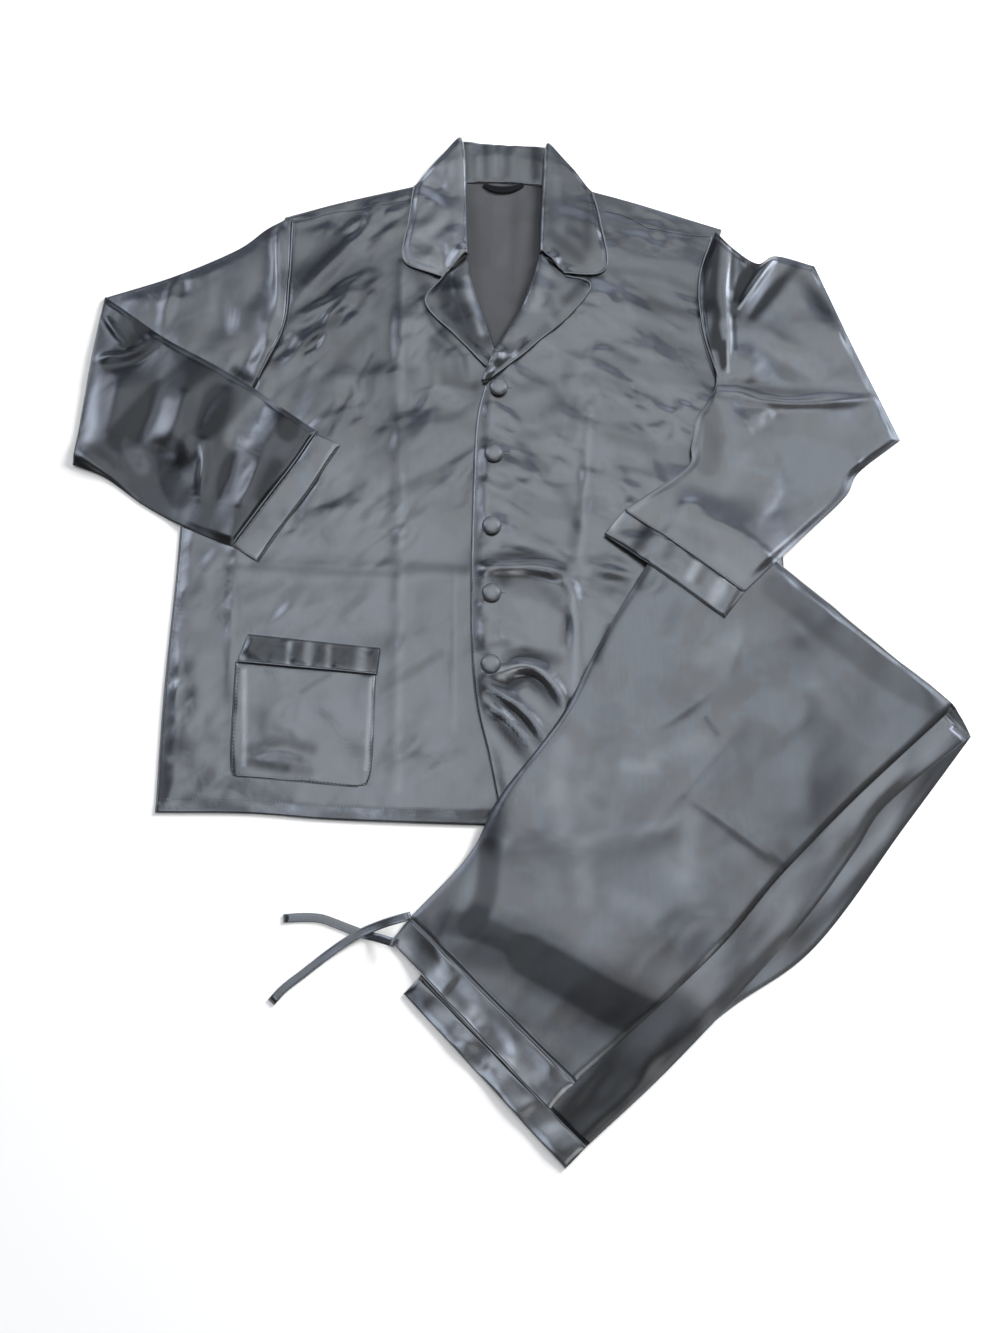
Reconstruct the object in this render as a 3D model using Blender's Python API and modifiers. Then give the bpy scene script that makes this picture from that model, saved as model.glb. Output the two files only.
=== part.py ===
"""Satin pyjama set laid flat: a button-front jacket and drawstring trousers.

The jacket lies on its back with its fronts buttoned. Its right sleeve is turned
back at the elbow over the front, and its left sleeve bends down at the elbow.
The trousers are folded lengthwise, then once across the knee, and lie on the
jacket's lower left corner, with the left cuff on top of them.

Lengths are in metres. Layout points are measured from the middle of the
jacket's hem, with +X to the viewer's right and +Y towards the collar. Right and
left in names are the wearer's. Pieces are laid in order, from the surface up:
each one is dropped onto what already lies there.
"""

import math
from collections import namedtuple

import bpy
import numpy as np
from mathutils import Vector

# ---- Cloth -------------------------------------------------------------------
CLOTH = 0.0011            # wall of one layer
AIR = 0.0005              # air between two layers that lie on each other
SEAM = 0.0003             # gap between pieces sewn edge to edge
LEG_CLOTH = 0.0013        # wall of the leg that shows
HIDDEN_LEG = 0.0024       # wall of the leg folded inside it, two layers of cloth
WAISTBAND_CLOTH = 0.0022  # casing with its turned edges
HEM_BAND_CLOTH = 0.0026   # turned-up trouser hem
STAND_CLOTH = 0.0024      # collar stand with the fall pressed behind it
SLEEVE_OUTER = 0.0014     # half the thickness of a flattened sleeve
SLEEVE_INNER = 0.0003     # half of the gap inside it
TURN_ARC = (60.0, 120.0)  # degrees at which a flattened tube's edge is rounded
FOLD_STEPS = 4            # facets round a fold
WIDEST_FOLD = 0.0042      # most that a fold bulges past its line

# ---- Heights of the pile -----------------------------------------------------
CELL = 0.003              # raster on which the pile's height is kept
REACH = (-0.48, 0.52, -0.34, 0.82)    # least and greatest x, then y, of the raster
EASE_PASSES = 2           # smoothing of a sheet that lies over a step

# ---- Jacket ------------------------------------------------------------------
LAP = 0.036               # overlap of the two fronts
SLEEVE_LAP = 0.009        # how far a sleeve lies over its armhole edge

Level = namedtuple("Level", "y right left")
SIDE_SEAMS = (            # x of the two sides, from above the hem to underarm
    Level(0.130, -0.311, 0.311),
    Level(0.262, -0.309, 0.310),
    Level(0.390, -0.310, 0.311),
)
ARMHOLES = (              # x of the two armholes, from underarm to below the shoulder
    Level(0.390, -0.310, 0.311),
    Level(0.430, -0.274, 0.283),
    Level(0.475, -0.249, 0.264),
    Level(0.540, -0.225, 0.250),
    Level(0.600, -0.222, 0.251),
)

Point = namedtuple("Point", "x y")
HEM = (Point(-0.309, 0.012), Point(-0.218, 0.011), Point(-0.138, 0.005),
       Point(0.000, 0.000), Point(0.158, -0.003), Point(0.310, -0.005))
SHOULDER_RIGHT = (Point(-0.222, 0.681), Point(-0.159, 0.701), Point(-0.073, 0.724))
SHOULDER_LEFT = (Point(0.125, 0.716), Point(0.177, 0.699), Point(0.270, 0.665))
NECK = (Point(-0.073, 0.724), Point(0.024, 0.728), Point(0.125, 0.716))
FRONT_EDGE = (            # the left front's free edge, which laps over the right
    Point(0.022, -0.001), Point(0.009, 0.066), Point(-0.004, 0.123),
    Point(-0.009, 0.192), Point(-0.009, 0.300), Point(-0.005, 0.420),
    Point(0.004, 0.468),
)
NECKLINE_RIGHT = (Point(0.016, 0.507), Point(-0.014, 0.594), Point(-0.019, 0.632),
                  Point(-0.036, 0.690), Point(-0.073, 0.724))
NECKLINE_LEFT = (Point(0.004, 0.468), Point(0.036, 0.543), Point(0.068, 0.636),
                 Point(0.085, 0.685), Point(0.125, 0.716))

# ---- Collar and lapels: roll line and free edge, both from low to high ----------
LAPEL_RIGHT_ROLL = (Point(0.015, 0.499), Point(-0.001, 0.555), Point(-0.013, 0.594),
                    Point(-0.018, 0.629))
LAPEL_RIGHT_FREE = (Point(0.006, 0.490), Point(-0.028, 0.527), Point(-0.061, 0.569),
                    Point(-0.040, 0.606))
LAPEL_LEFT_ROLL = (Point(0.003, 0.470), Point(0.018, 0.509), Point(0.037, 0.543),
                   Point(0.056, 0.584), Point(0.067, 0.629))
LAPEL_LEFT_FREE = (Point(0.012, 0.475), Point(0.061, 0.521), Point(0.098, 0.554),
                   Point(0.120, 0.590), Point(0.092, 0.601))
LAPEL_TURN = 0.016        # width of front turned back under a lapel
TURN_SHARE = 0.6          # most of a lapel's or wing's width that is turned under
WING_RIGHT_ROLL = (Point(-0.018, 0.627), Point(-0.020, 0.655), Point(-0.022, 0.745),
                   Point(-0.026, 0.781))
WING_RIGHT_FREE = (Point(-0.043, 0.602), Point(-0.086, 0.622), Point(-0.082, 0.673),
                   Point(-0.077, 0.722))
WING_LEFT_ROLL = (Point(0.068, 0.632), Point(0.071, 0.690), Point(0.074, 0.745),
                  Point(0.076, 0.773))
WING_LEFT_FREE = (Point(0.091, 0.604), Point(0.137, 0.612), Point(0.133, 0.671),
                  Point(0.125, 0.714))
WING_TURN = 0.020         # width of stand that shows under a wing
STAND_TOP = (Point(-0.026, 0.782), Point(0.024, 0.778), Point(0.076, 0.774))
LOOP_CENTRE = Point(0.024, 0.7203)
LOOP_LENGTH = 0.046
LOOP_WIDTH = 0.011

# ---- Pocket and buttons --------------------------------------------------------
POCKET_LEFT = (Point(-0.228, 0.046), Point(-0.240, 0.058), Point(-0.242, 0.161))
POCKET_RIGHT = (Point(-0.117, 0.036), Point(-0.104, 0.050), Point(-0.102, 0.148))
POCKET_BAND = (Point(-0.240, 0.1613), Point(-0.101, 0.1483), Point(-0.099, 0.175),
               Point(-0.231, 0.189))
POCKET_BAND_CLOTH = 0.0018
BUTTONS = (Point(0.019, 0.463), Point(0.014, 0.384), Point(0.012, 0.304),
           Point(0.012, 0.232), Point(0.011, 0.157))
BUTTON_RADIUS = 0.010
BUTTON_HEIGHT = 0.0048
BUTTON_STEPS = 14
BUTTON_FOOT = 0.7         # share of the radius that bears on the cloth
ButtonRing = namedtuple("ButtonRing", "radius height")   # as shares of the whole
BUTTON_PROFILE = (ButtonRing(0.0, 1.0), ButtonRing(0.50, 0.93), ButtonRing(0.82, 0.70),
                  ButtonRing(1.0, 0.36), ButtonRing(0.94, 0.08), ButtonRing(0.80, 0.0),
                  ButtonRing(0.0, 0.0))

# ---- Sleeves: across each section, the edge nearer the collar, then the other ----
Section = namedtuple("Section", "upper lower")
RIGHT_UPPER_ARM = (
    Section(Point(-0.214, 0.678), Point(-0.300, 0.384)),     # armhole
    Section(Point(-0.240, 0.666), Point(-0.320, 0.382)),
    Section(Point(-0.273, 0.638), Point(-0.340, 0.380)),
    Section(Point(-0.340, 0.604), Point(-0.380, 0.377)),
    Section(Point(-0.413, 0.577), Point(-0.426, 0.376)),     # elbow fold
)
RIGHT_FOREARM = (
    Section(Point(-0.413, 0.576), Point(-0.426, 0.375)),     # elbow fold
    Section(Point(-0.342, 0.523), Point(-0.392, 0.361)),
    Section(Point(-0.280, 0.487), Point(-0.350, 0.331)),
    Section(Point(-0.223, 0.449), Point(-0.306, 0.306)),
    Section(Point(-0.173, 0.411), Point(-0.253, 0.283)),     # cuff seam
)
RIGHT_CUFF = (
    Section(Point(-0.1727, 0.4108), Point(-0.2527, 0.2828)),
    Section(Point(-0.148, 0.395), Point(-0.226, 0.267)),
)
LEFT_SHOULDER_CAP = (
    Section(Point(0.262, 0.661), Point(0.255, 0.475)),       # armhole
    Section(Point(0.283, 0.637), Point(0.252, 0.468)),
    Section(Point(0.307, 0.620), Point(0.249, 0.461)),
    Section(Point(0.328, 0.630), Point(0.248, 0.458)),
    Section(Point(0.370, 0.617), Point(0.246, 0.455)),       # outer corner
)
LEFT_UPPER_ARM = (
    Section(Point(0.370, 0.617), Point(0.246, 0.455)),       # outer corner
    Section(Point(0.401, 0.523), Point(0.243, 0.449)),
    Section(Point(0.425, 0.455), Point(0.240, 0.444)),
    Section(Point(0.443, 0.404), Point(0.236, 0.438)),       # elbow
)
LEFT_FOREARM = (
    Section(Point(0.443, 0.404), Point(0.236, 0.438)),       # elbow
    Section(Point(0.396, 0.367), Point(0.228, 0.424)),
    Section(Point(0.379, 0.339), Point(0.222, 0.395)),
    Section(Point(0.335, 0.297), Point(0.214, 0.368)),
    Section(Point(0.264, 0.230), Point(0.149, 0.320)),       # cuff seam
)
LEFT_CUFF = (
    Section(Point(0.2638, 0.2297), Point(0.1488, 0.3197)),
    Section(Point(0.243, 0.203), Point(0.127, 0.293)),
)

# ---- Trousers, folded: each run's edges, from waist or hem end to the knee fold --
TOP_RUN_INNER = (Point(-0.063, -0.086), Point(-0.008, -0.028), Point(0.020, 0.025),
                 Point(0.079, 0.102), Point(0.130, 0.196), Point(0.214, 0.331))
TOP_RUN_OUTER = (Point(0.087, -0.227), Point(0.215, -0.118), Point(0.285, -0.044),
                 Point(0.369, 0.034), Point(0.464, 0.115))
TOP_RUN_KNEE = (Point(0.214, 0.331), Point(0.305, 0.254), Point(0.402, 0.168),
                Point(0.464, 0.115))
WAISTBAND_LOW = (Point(-0.080, -0.107), Point(0.063, -0.250))
WAIST_SEAM = (Point(-0.0632, -0.0862), Point(0.0868, -0.2272))
LOWER_RUN_INNER = (Point(-0.053, -0.139), Point(0.004, -0.034), Point(0.079, 0.096),
                   Point(0.210, 0.325))
LOWER_RUN_OUTER = (Point(0.096, -0.280), Point(0.178, -0.210), Point(0.290, -0.101),
                   Point(0.354, -0.026), Point(0.390, 0.020), Point(0.473, 0.083))
LOWER_RUN_KNEE = (Point(0.210, 0.325), Point(0.301, 0.249), Point(0.397, 0.163),
                  Point(0.473, 0.083))
HIDDEN_RUN_KNEE = (Point(0.210, 0.325), Point(0.301, 0.249), Point(0.397, 0.163),
                   Point(0.459, 0.109))
HEM_SEAM = (Point(-0.0532, -0.1393), Point(0.0958, -0.2803))
HEM_BAND_LOW = (Point(-0.067, -0.153), Point(0.077, -0.298))
INNER_RUN_INSET = 0.003   # how far the hidden run lies inside the one that covers it
BOTTOM_RUN_INNER = (Point(-0.055, -0.150), Point(0.006, -0.036), Point(0.081, 0.094),
                    Point(0.213, 0.329))
BOTTOM_RUN_OUTER = (Point(0.079, -0.289), Point(0.216, -0.175), Point(0.310, -0.112),
                    Point(0.407, 0.001), Point(0.479, 0.086))
BOTTOM_RUN_KNEE = (Point(0.213, 0.329), Point(0.306, 0.255), Point(0.404, 0.166),
                   Point(0.479, 0.086))
BOTTOM_RUN_HEM = (Point(-0.055, -0.150), Point(0.079, -0.289))

# ---- Drawstring: flat tape of the same cloth ------------------------------------
TAPE_WIDTH = 0.008
TAPE_THICKNESS = 0.0016
TAPE_STEP = 0.011         # distance between a tape's points
Stop = namedtuple("Stop", "x y z")        # z is the height of the tape's middle
TAPE_UPPER = (
    Stop(-0.0677, -0.0853, 0.0128), Stop(-0.078, -0.088, 0.0108),
    Stop(-0.092, -0.0925, 0.0070), Stop(-0.108, -0.099, 0.0042),
    Stop(-0.125, -0.109, 0.0032), Stop(-0.142, -0.121, 0.0014),
    Stop(-0.160, -0.135, 0.0010), Stop(-0.177, -0.148, 0.0010),
    Stop(-0.188, -0.160, 0.0010),
)
TAPE_LOWER = (
    Stop(-0.0804, -0.1065, 0.0124), Stop(-0.088, -0.1045, 0.0078),
    Stop(-0.097, -0.1022, 0.0030), Stop(-0.107, -0.0998, 0.0010),
    Stop(-0.131, -0.091, 0.0010), Stop(-0.146, -0.086, 0.0010),
    Stop(-0.163, -0.085, 0.0010), Stop(-0.181, -0.086, 0.0010),
)

# ---- Largest folds: a soft ridge from one point to another -----------------------
Ridge = namedtuple("Ridge", "piece x0 y0 x1 y1 width height")
RIDGES = (
    Ridge("front_right", -0.305, 0.257, -0.020, 0.254, 0.012, 0.0012),   # storage fold
    Ridge("front_right", -0.088, 0.560, -0.075, 0.024, 0.010, 0.0014),   # storage fold
    Ridge("front_right", -0.253, 0.403, -0.241, 0.200, 0.010, 0.0012),
    Ridge("front_right", -0.215, 0.610, -0.120, 0.560, 0.016, 0.0020),
    Ridge("front_right", -0.190, 0.520, -0.100, 0.470, 0.016, 0.0016),
    Ridge("front_left", 0.020, 0.255, 0.163, 0.252, 0.012, 0.0012),      # storage fold
    Ridge("front_left", 0.116, 0.415, 0.109, 0.132, 0.010, 0.0016),      # storage fold
    Ridge("front_left", 0.000, 0.281, 0.088, 0.268, 0.012, 0.0026),
    Ridge("front_left", -0.001, 0.140, 0.057, 0.077, 0.012, 0.0034),
    Ridge("front_left", 0.010, 0.108, 0.045, 0.064, 0.010, 0.0020),
    Ridge("front_left", 0.150, 0.640, 0.215, 0.560, 0.018, 0.0020),
    Ridge("sleeve_right", -0.400, 0.430, -0.220, 0.350, 0.022, 0.0030),
    Ridge("sleeve_right", -0.330, 0.480, -0.260, 0.420, 0.018, 0.0025),
    Ridge("sleeve_left", 0.276, 0.650, 0.264, 0.520, 0.010, 0.0050),
    Ridge("sleeve_left", 0.329, 0.627, 0.285, 0.573, 0.013, 0.0060),
    Ridge("sleeve_left", 0.365, 0.612, 0.398, 0.520, 0.014, 0.0035),
    Ridge("sleeve_left", 0.245, 0.446, 0.412, 0.446, 0.012, 0.0040),     # elbow crease
    Ridge("leg_left", 0.195, 0.029, 0.285, -0.040, 0.010, 0.0018),
    Ridge("leg_left", -0.030, -0.060, 0.130, -0.160, 0.030, 0.0035),
    Ridge("leg_left", 0.110, 0.190, 0.260, 0.080, 0.020, 0.0022),
    Ridge("leg_left", 0.300, 0.210, 0.420, 0.110, 0.018, 0.0026),
)

# ---- Colours: name, colour, roughness, metallic ----------------------------------
Finish = namedtuple("Finish", "colour roughness metallic")
SATIN = Finish((0.155, 0.170, 0.190, 1.0), 0.34, 0.25)
SATIN_INSIDE = Finish((0.095, 0.100, 0.108, 1.0), 0.55, 0.05)
SATIN_DARK = Finish((0.040, 0.045, 0.052, 1.0), 0.40, 0.10)

UP = np.array((0.0, 0.0, 1.0))


# ==== Curves and surfaces ========================================================
def smooth_line(points, count):
    """count points, evenly spaced along a smooth curve through the given ones."""
    knots = np.array(points, float)
    if len(knots) > 2:
        ends = (2 * knots[0] - knots[1], 2 * knots[-1] - knots[-2])
        knots = np.vstack([ends[0], knots, ends[1]])
        steps = np.linspace(0, 1, 24, endpoint=False)[:, None]
        dense = []
        for a, b, c, d in zip(knots, knots[1:], knots[2:], knots[3:]):
            dense.append(0.5 * (2 * b + (c - a) * steps
                                + (2 * a - 5 * b + 4 * c - d) * steps ** 2
                                + (3 * b - a - 3 * c + d) * steps ** 3))
        knots = np.vstack(dense + [knots[-2]])
    run = np.concatenate([[0], np.cumsum(np.linalg.norm(np.diff(knots, axis=0), axis=1))])
    at = np.linspace(0, run[-1], count)
    return np.stack([np.interp(at, run, knots[:, k]) for k in range(knots.shape[1])], 1)


def joined_line(*parts):
    """Several (points, count) curves end to end, with a corner where they meet."""
    lines = [smooth_line(points, count) for points, count in parts]
    return np.vstack([lines[0]] + [line[1:] for line in lines[1:]])


def between_edges(low, high, left, right):
    """Grid of points inside four edges. Rows run low to high, columns left to right."""
    v = np.linspace(0, 1, len(left))[:, None, None]
    u = np.linspace(0, 1, len(low))[None, :, None]
    across = (1 - u) * left[:, None] + u * right[:, None]
    along = (1 - v) * low[None] + v * high[None]
    corners = ((1 - u) * (1 - v) * low[0] + u * (1 - v) * low[-1]
               + (1 - u) * v * high[0] + u * v * high[-1])
    return across + along - corners


def between_sections(sections, rows, columns):
    """Grid of points through a tube's sections, its lower edge in the first column."""
    upper = smooth_line([section.upper for section in sections], rows)
    lower = smooth_line([section.lower for section in sections], rows)
    share = np.linspace(0, 1, columns)[None, :, None]
    return (1 - share) * lower[:, None] + share * upper[:, None]


def starting_at(grid, row):
    """The grid with its first row moved to the given one, less and less further on."""
    fade = np.linspace(1, 0, len(grid))[:, None, None]
    return grid + fade * (row - grid[0])


# ==== The pile ====================================================================
class Pile:
    """Height of everything laid so far, on a square raster."""

    def __init__(self):
        x0, x1, y0, y1 = REACH
        self.corner = np.array((x0, y0))
        self.height = np.zeros((round((x1 - x0) / CELL), round((y1 - y0) / CELL)))

    def cover(self, corners):
        """Raise the raster to the triangles given, as an array of their corners."""
        for tri in corners:
            flat = (tri[:, :2] - self.corner) / CELL - 0.5
            low = np.maximum(np.ceil(flat.min(0) - 1e-6), 0).astype(int)
            high = np.floor(flat.max(0) + 1e-6).astype(int) + 1
            area = np.cross(flat[1] - flat[0], flat[2] - flat[0])
            if abs(area) < 1e-9 or (high <= low).any():
                continue
            spot = np.stack(np.meshgrid(*(np.arange(*ends) for ends in zip(low, high)),
                                        indexing="ij"), -1)
            first = np.cross(spot - flat[0], flat[2] - flat[0]) / area
            second = np.cross(flat[1] - flat[0], spot - flat[0]) / area
            inside = (first >= -1e-6) & (second >= -1e-6) & (first + second <= 1 + 1e-6)
            level = (tri[0, 2] + first * (tri[1, 2] - tri[0, 2])
                     + second * (tri[2, 2] - tri[0, 2]))
            part = self.height[low[0]:high[0], low[1]:high[1]]
            np.maximum(part, np.where(inside, level, 0), out=part)

    def add(self, obj):
        """Raise the raster to an object as its modifiers leave it."""
        bpy.context.view_layer.update()
        evaluated = obj.evaluated_get(bpy.context.evaluated_depsgraph_get())
        mesh = evaluated.to_mesh()
        mesh.calc_loop_triangles()
        places = np.array([evaluated.matrix_world @ vert.co for vert in mesh.vertices])
        self.cover(places[[tri.vertices[:] for tri in mesh.loop_triangles]])
        evaluated.to_mesh_clear()

    def highest_near(self, places):
        """Greatest height within a cell of each place."""
        padded = np.pad(self.height, 1)
        rows, columns = self.height.shape
        spread = np.max([padded[i:i + rows, j:j + columns]
                         for i in range(3) for j in range(3)], axis=0)
        cell = np.floor((places[..., :2] - self.corner) / CELL).astype(int)
        return spread[cell[..., 0], cell[..., 1]]

    def drop(self, grid):
        """Heights at which the underside of a sheet on this grid clears the pile."""
        size = max(np.linalg.norm(np.diff(grid, axis=axis), axis=-1).max()
                   for axis in (0, 1))
        parts = max(2, math.ceil(size / CELL))
        share = np.linspace(0, 1, parts + 1)
        u, v = share[None, None, None, :, None], share[None, None, :, None, None]
        low, high = grid[:-1, :, None, None], grid[1:, :, None, None]
        inside = ((1 - v) * ((1 - u) * low[:, :-1] + u * low[:, 1:])
                  + v * ((1 - u) * high[:, :-1] + u * high[:, 1:]))
        need = self.highest_near(inside).max(axis=(2, 3))
        need = np.where(need > 0, need + AIR, 0)
        padded = np.pad(need, 1)
        level = np.max([padded[:-1, :-1], padded[1:, :-1], padded[:-1, 1:],
                        padded[1:, 1:]], axis=0)
        for _ in range(EASE_PASSES):
            edged = np.pad(level, 1, mode="edge")
            level = np.maximum(level, (edged[:-2, 1:-1] + edged[2:, 1:-1]
                                       + edged[1:-1, :-2] + edged[1:-1, 2:]) / 4)
        return level


def ridges_of(piece, grid):
    """Height that the folds of a piece add at each point of its grid."""
    height = np.zeros(grid.shape[:2])
    for ridge in RIDGES:
        if ridge.piece != piece:
            continue
        start = np.array((ridge.x0, ridge.y0))
        run = np.array((ridge.x1, ridge.y1)) - start
        along = np.clip(((grid[..., :2] - start) @ run) / (run @ run), 0, 1)
        away = np.linalg.norm(grid[..., :2] - start - along[..., None] * run, axis=-1)
        fade = np.sin(math.pi * np.clip(along, 0.06, 0.94)) ** 0.5
        height += ridge.height * fade * np.exp(-(away / ridge.width) ** 2)
    return height


def raised(grid, height):
    return np.concatenate([grid[..., :2], height[..., None]], axis=-1)


# ==== Blender objects ===============================================================
def clear_scene():
    for obj in list(bpy.data.objects):
        bpy.data.objects.remove(obj, do_unlink=True)


def new_collection(name):
    collection = bpy.data.collections.new(name)
    bpy.context.scene.collection.children.link(collection)
    return collection


def new_material(name, finish):
    material = bpy.data.materials.new(name)
    material.use_nodes = True
    shader = material.node_tree.nodes["Principled BSDF"]
    shader.inputs["Base Color"].default_value = finish.colour
    shader.inputs["Roughness"].default_value = finish.roughness
    shader.inputs["Metallic"].default_value = finish.metallic
    material.diffuse_color = finish.colour
    return material


def new_object(name, points, faces, finish):
    mesh = bpy.data.meshes.new(name)
    mesh.from_pydata([tuple(point) for point in points], [], faces)
    mesh.shade_smooth()
    mesh.set_sharp_from_angle(angle=math.radians(40))
    obj = bpy.data.objects.new(name, mesh)
    obj.data.materials.append(new_material(name, finish))
    bpy.data.collections["Pyjama set"].objects.link(obj)
    return obj


def grid_faces(rows, columns, closed=False):
    """Quads of a grid, whose last column joins the first when it is closed."""
    faces = []
    for i in range(rows - 1):
        for j in range(columns if closed else columns - 1):
            k = (j + 1) % columns
            faces.append((i * columns + j, i * columns + k,
                          (i + 1) * columns + k, (i + 1) * columns + j))
    return faces


def facing_up(grid):
    """The grid with its rows in the order that turns its first faces upwards."""
    one, other = grid[0, 1] - grid[0, 0], grid[1, 0] - grid[0, 0]
    return grid if one[0] * other[1] > one[1] * other[0] else grid[::-1]


def sheet(name, grid, thickness, finish=SATIN):
    """A layer of cloth whose underside is the grid, thickened upwards."""
    grid = facing_up(grid)
    obj = new_object(name, grid.reshape(-1, 3), grid_faces(*grid.shape[:2]), finish)
    wall = obj.modifiers.new("Cloth", "SOLIDIFY")
    wall.thickness = thickness
    wall.offset = 1
    return obj


def round_fold(over, under, outward):
    """Half-round rows between the end rows of two runs, bulging outwards."""
    middle, half = (over + under) / 2, (over - under) / 2
    bulge = np.minimum(half[:, 2], WIDEST_FOLD)[:, None] * outward
    angles = np.linspace(0, math.pi, FOLD_STEPS + 1)[1:-1]
    return np.stack([middle + math.cos(a) * half + math.sin(a) * bulge for a in angles])


def outward_of(edge, inside):
    """Level unit vectors square to an edge row, pointing away from the row inside."""
    run = np.gradient(edge[:, :2], axis=0)
    side = np.stack([run[:, 1], -run[:, 0]], 1)
    side /= np.linalg.norm(side, axis=1)[:, None]
    if ((edge - inside)[:, :2] * side).sum() < 0:
        side = -side
    return np.concatenate([side, np.zeros((len(side), 1))], axis=1)


def folded_sheet(name, over, under, thickness):
    """Cloth folded over itself: both runs end at the fold, and it grows outwards.

    over is the underside of the upper run and under the upper side of the lower
    run, each with its last row at the fold.
    """
    outward = outward_of(over[-1], over[-2])
    rows = np.concatenate([over, round_fold(over[-1], under[-1], outward), under[::-1]])
    return sheet(name, rows, thickness)


def button(name, place, level):
    """A cloth-covered button: a low dome turned round its axis."""
    points = [(ring.radius * BUTTON_RADIUS, 0, ring.height * BUTTON_HEIGHT)
              for ring in BUTTON_PROFILE]
    mesh = bpy.data.meshes.new(name)
    mesh.from_pydata(points, [(k, k + 1) for k in range(len(points) - 1)], [])
    obj = bpy.data.objects.new(name, mesh)
    obj.data.materials.append(new_material(name, SATIN))
    bpy.data.collections["Pyjama set"].objects.link(obj)
    turn = obj.modifiers.new("Turned", "SCREW")
    turn.steps = turn.render_steps = BUTTON_STEPS
    turn.use_merge_vertices = True
    turn.merge_threshold = 0.00001
    obj.location = (place.x, place.y, level)
    return obj


def tape_section():
    """Section of the drawstring tape, a flat rounded oblong, as a guide curve."""
    curve = bpy.data.curves.new("tape_section", "CURVE")
    spline = curve.splines.new("POLY")
    half, edge = TAPE_WIDTH / 2, TAPE_THICKNESS / 2
    corners = [(half, 0), (half - edge, -edge), (edge - half, -edge),
               (-half, 0), (edge - half, edge), (half - edge, edge)]
    spline.points.add(len(corners) - 1)
    for point, (x, y) in zip(spline.points, corners):
        point.co = (x, y, 0, 1)
    spline.use_cyclic_u = True
    guide = bpy.data.objects.new("tape_section", curve)
    guide.hide_render = True
    guide.display_type = "WIRE"
    bpy.data.collections["Guides"].objects.link(guide)
    return guide


def tape(name, stops, section):
    """A flat tape along a smooth route, closed at both ends."""
    length = np.linalg.norm(np.diff(np.array(stops), axis=0), axis=1).sum()
    route = smooth_line(stops, round(length / TAPE_STEP) + 1)
    curve = bpy.data.curves.new(name, "CURVE")
    curve.dimensions = "3D"
    curve.twist_mode = "Z_UP"
    curve.bevel_mode = "OBJECT"
    curve.bevel_object = section
    curve.use_fill_caps = True
    spline = curve.splines.new("POLY")
    spline.points.add(len(route) - 1)
    for point, place in zip(spline.points, route):
        point.co = (*place, 1)
    curve.materials.append(new_material(name, SATIN))
    obj = bpy.data.objects.new(name, curve)
    bpy.data.collections["Pyjama set"].objects.link(obj)
    return obj


# ==== Pieces ========================================================================
def side_line(side, hem_point, rows_low, rows_high):
    """A side seam and armhole, from the hem's corner up to the shoulder."""
    seam = [hem_point] + [(getattr(level, side), level.y) for level in SIDE_SEAMS]
    hole = [(getattr(level, side), level.y) for level in ARMHOLES]
    tip = SHOULDER_RIGHT[0] if side == "right" else SHOULDER_LEFT[-1]
    return joined_line((seam, rows_low), (hole + [tip], rows_high))


def make_back(pile):
    left = side_line("right", HEM[0], 7, 9)
    right = side_line("left", HEM[-1], 7, 9)
    top = joined_line((SHOULDER_RIGHT, 5), (NECK, 5), (SHOULDER_LEFT, 5))
    grid = between_edges(smooth_line(HEM, len(top)), top, left, right)
    pile.add(sheet("back", raised(grid, np.zeros(grid.shape[:2])), CLOTH, SATIN_INSIDE))


def lay_sheet(pile, name, grid, thickness, finish=SATIN):
    """Drop a sheet on the pile, add its folds, and lay it there."""
    height = pile.drop(grid) + ridges_of(name, grid)
    pile.add(sheet(name, raised(grid, height), thickness, finish))


def part_of_hem(start, end, count):
    """The hem between two x, as evenly spaced points."""
    line = smooth_line(HEM, 60)
    x = np.linspace(start, end, count)
    return np.stack([x, np.interp(x, line[:, 0], line[:, 1])], 1)


def make_front_right(pile):
    side = side_line("right", HEM[0], 14, 13)
    edge = [(point.x + LAP, point.y) for point in FRONT_EDGE[:-1]]
    inner = joined_line((edge + [(0.022, 0.480)], 16), (NECKLINE_RIGHT, 11))
    top = smooth_line(SHOULDER_RIGHT, 14)
    low = part_of_hem(side[0, 0], inner[0, 0], len(top))
    inner[0] = low[-1]
    lay_sheet(pile, "front_right", between_edges(low, top, side, inner), CLOTH)


def make_front_left(pile):
    side = side_line("left", HEM[-1], 14, 13)
    inner = joined_line((FRONT_EDGE, 16), (NECKLINE_LEFT, 11))
    top = smooth_line(SHOULDER_LEFT, 14)
    low = part_of_hem(inner[0, 0], side[0, 0], len(top))
    inner[0] = low[0]
    lay_sheet(pile, "front_left", between_edges(low, top, inner, side), CLOTH)


def make_turned(pile, name, roll, free, turn, rows):
    """A collar wing or lapel: cloth folded at its roll line, the free part on top."""
    roll_line, free_line = smooth_line(roll, rows), smooth_line(free, rows)
    width = np.linalg.norm(free_line - roll_line, axis=1)[:, None]
    reach = np.minimum(turn / width, TURN_SHARE)
    under_line = roll_line + reach * (free_line - roll_line)
    under = np.stack([under_line + k * (roll_line - under_line) for k in (0, 0.5, 1)])
    over = np.stack([free_line + k * (roll_line - free_line)
                     for k in (0, 0.25, 0.5, 0.75, 1)])
    under_level = pile.drop(under) + CLOTH
    pile.cover(triangles_of(raised(under, under_level)))
    over_level = pile.drop(over)
    over_level[-1] = np.maximum(over_level[-1], under_level[-1] + AIR)
    pile.add(folded_sheet(name, raised(over, over_level), raised(under, under_level),
                          CLOTH))


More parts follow.
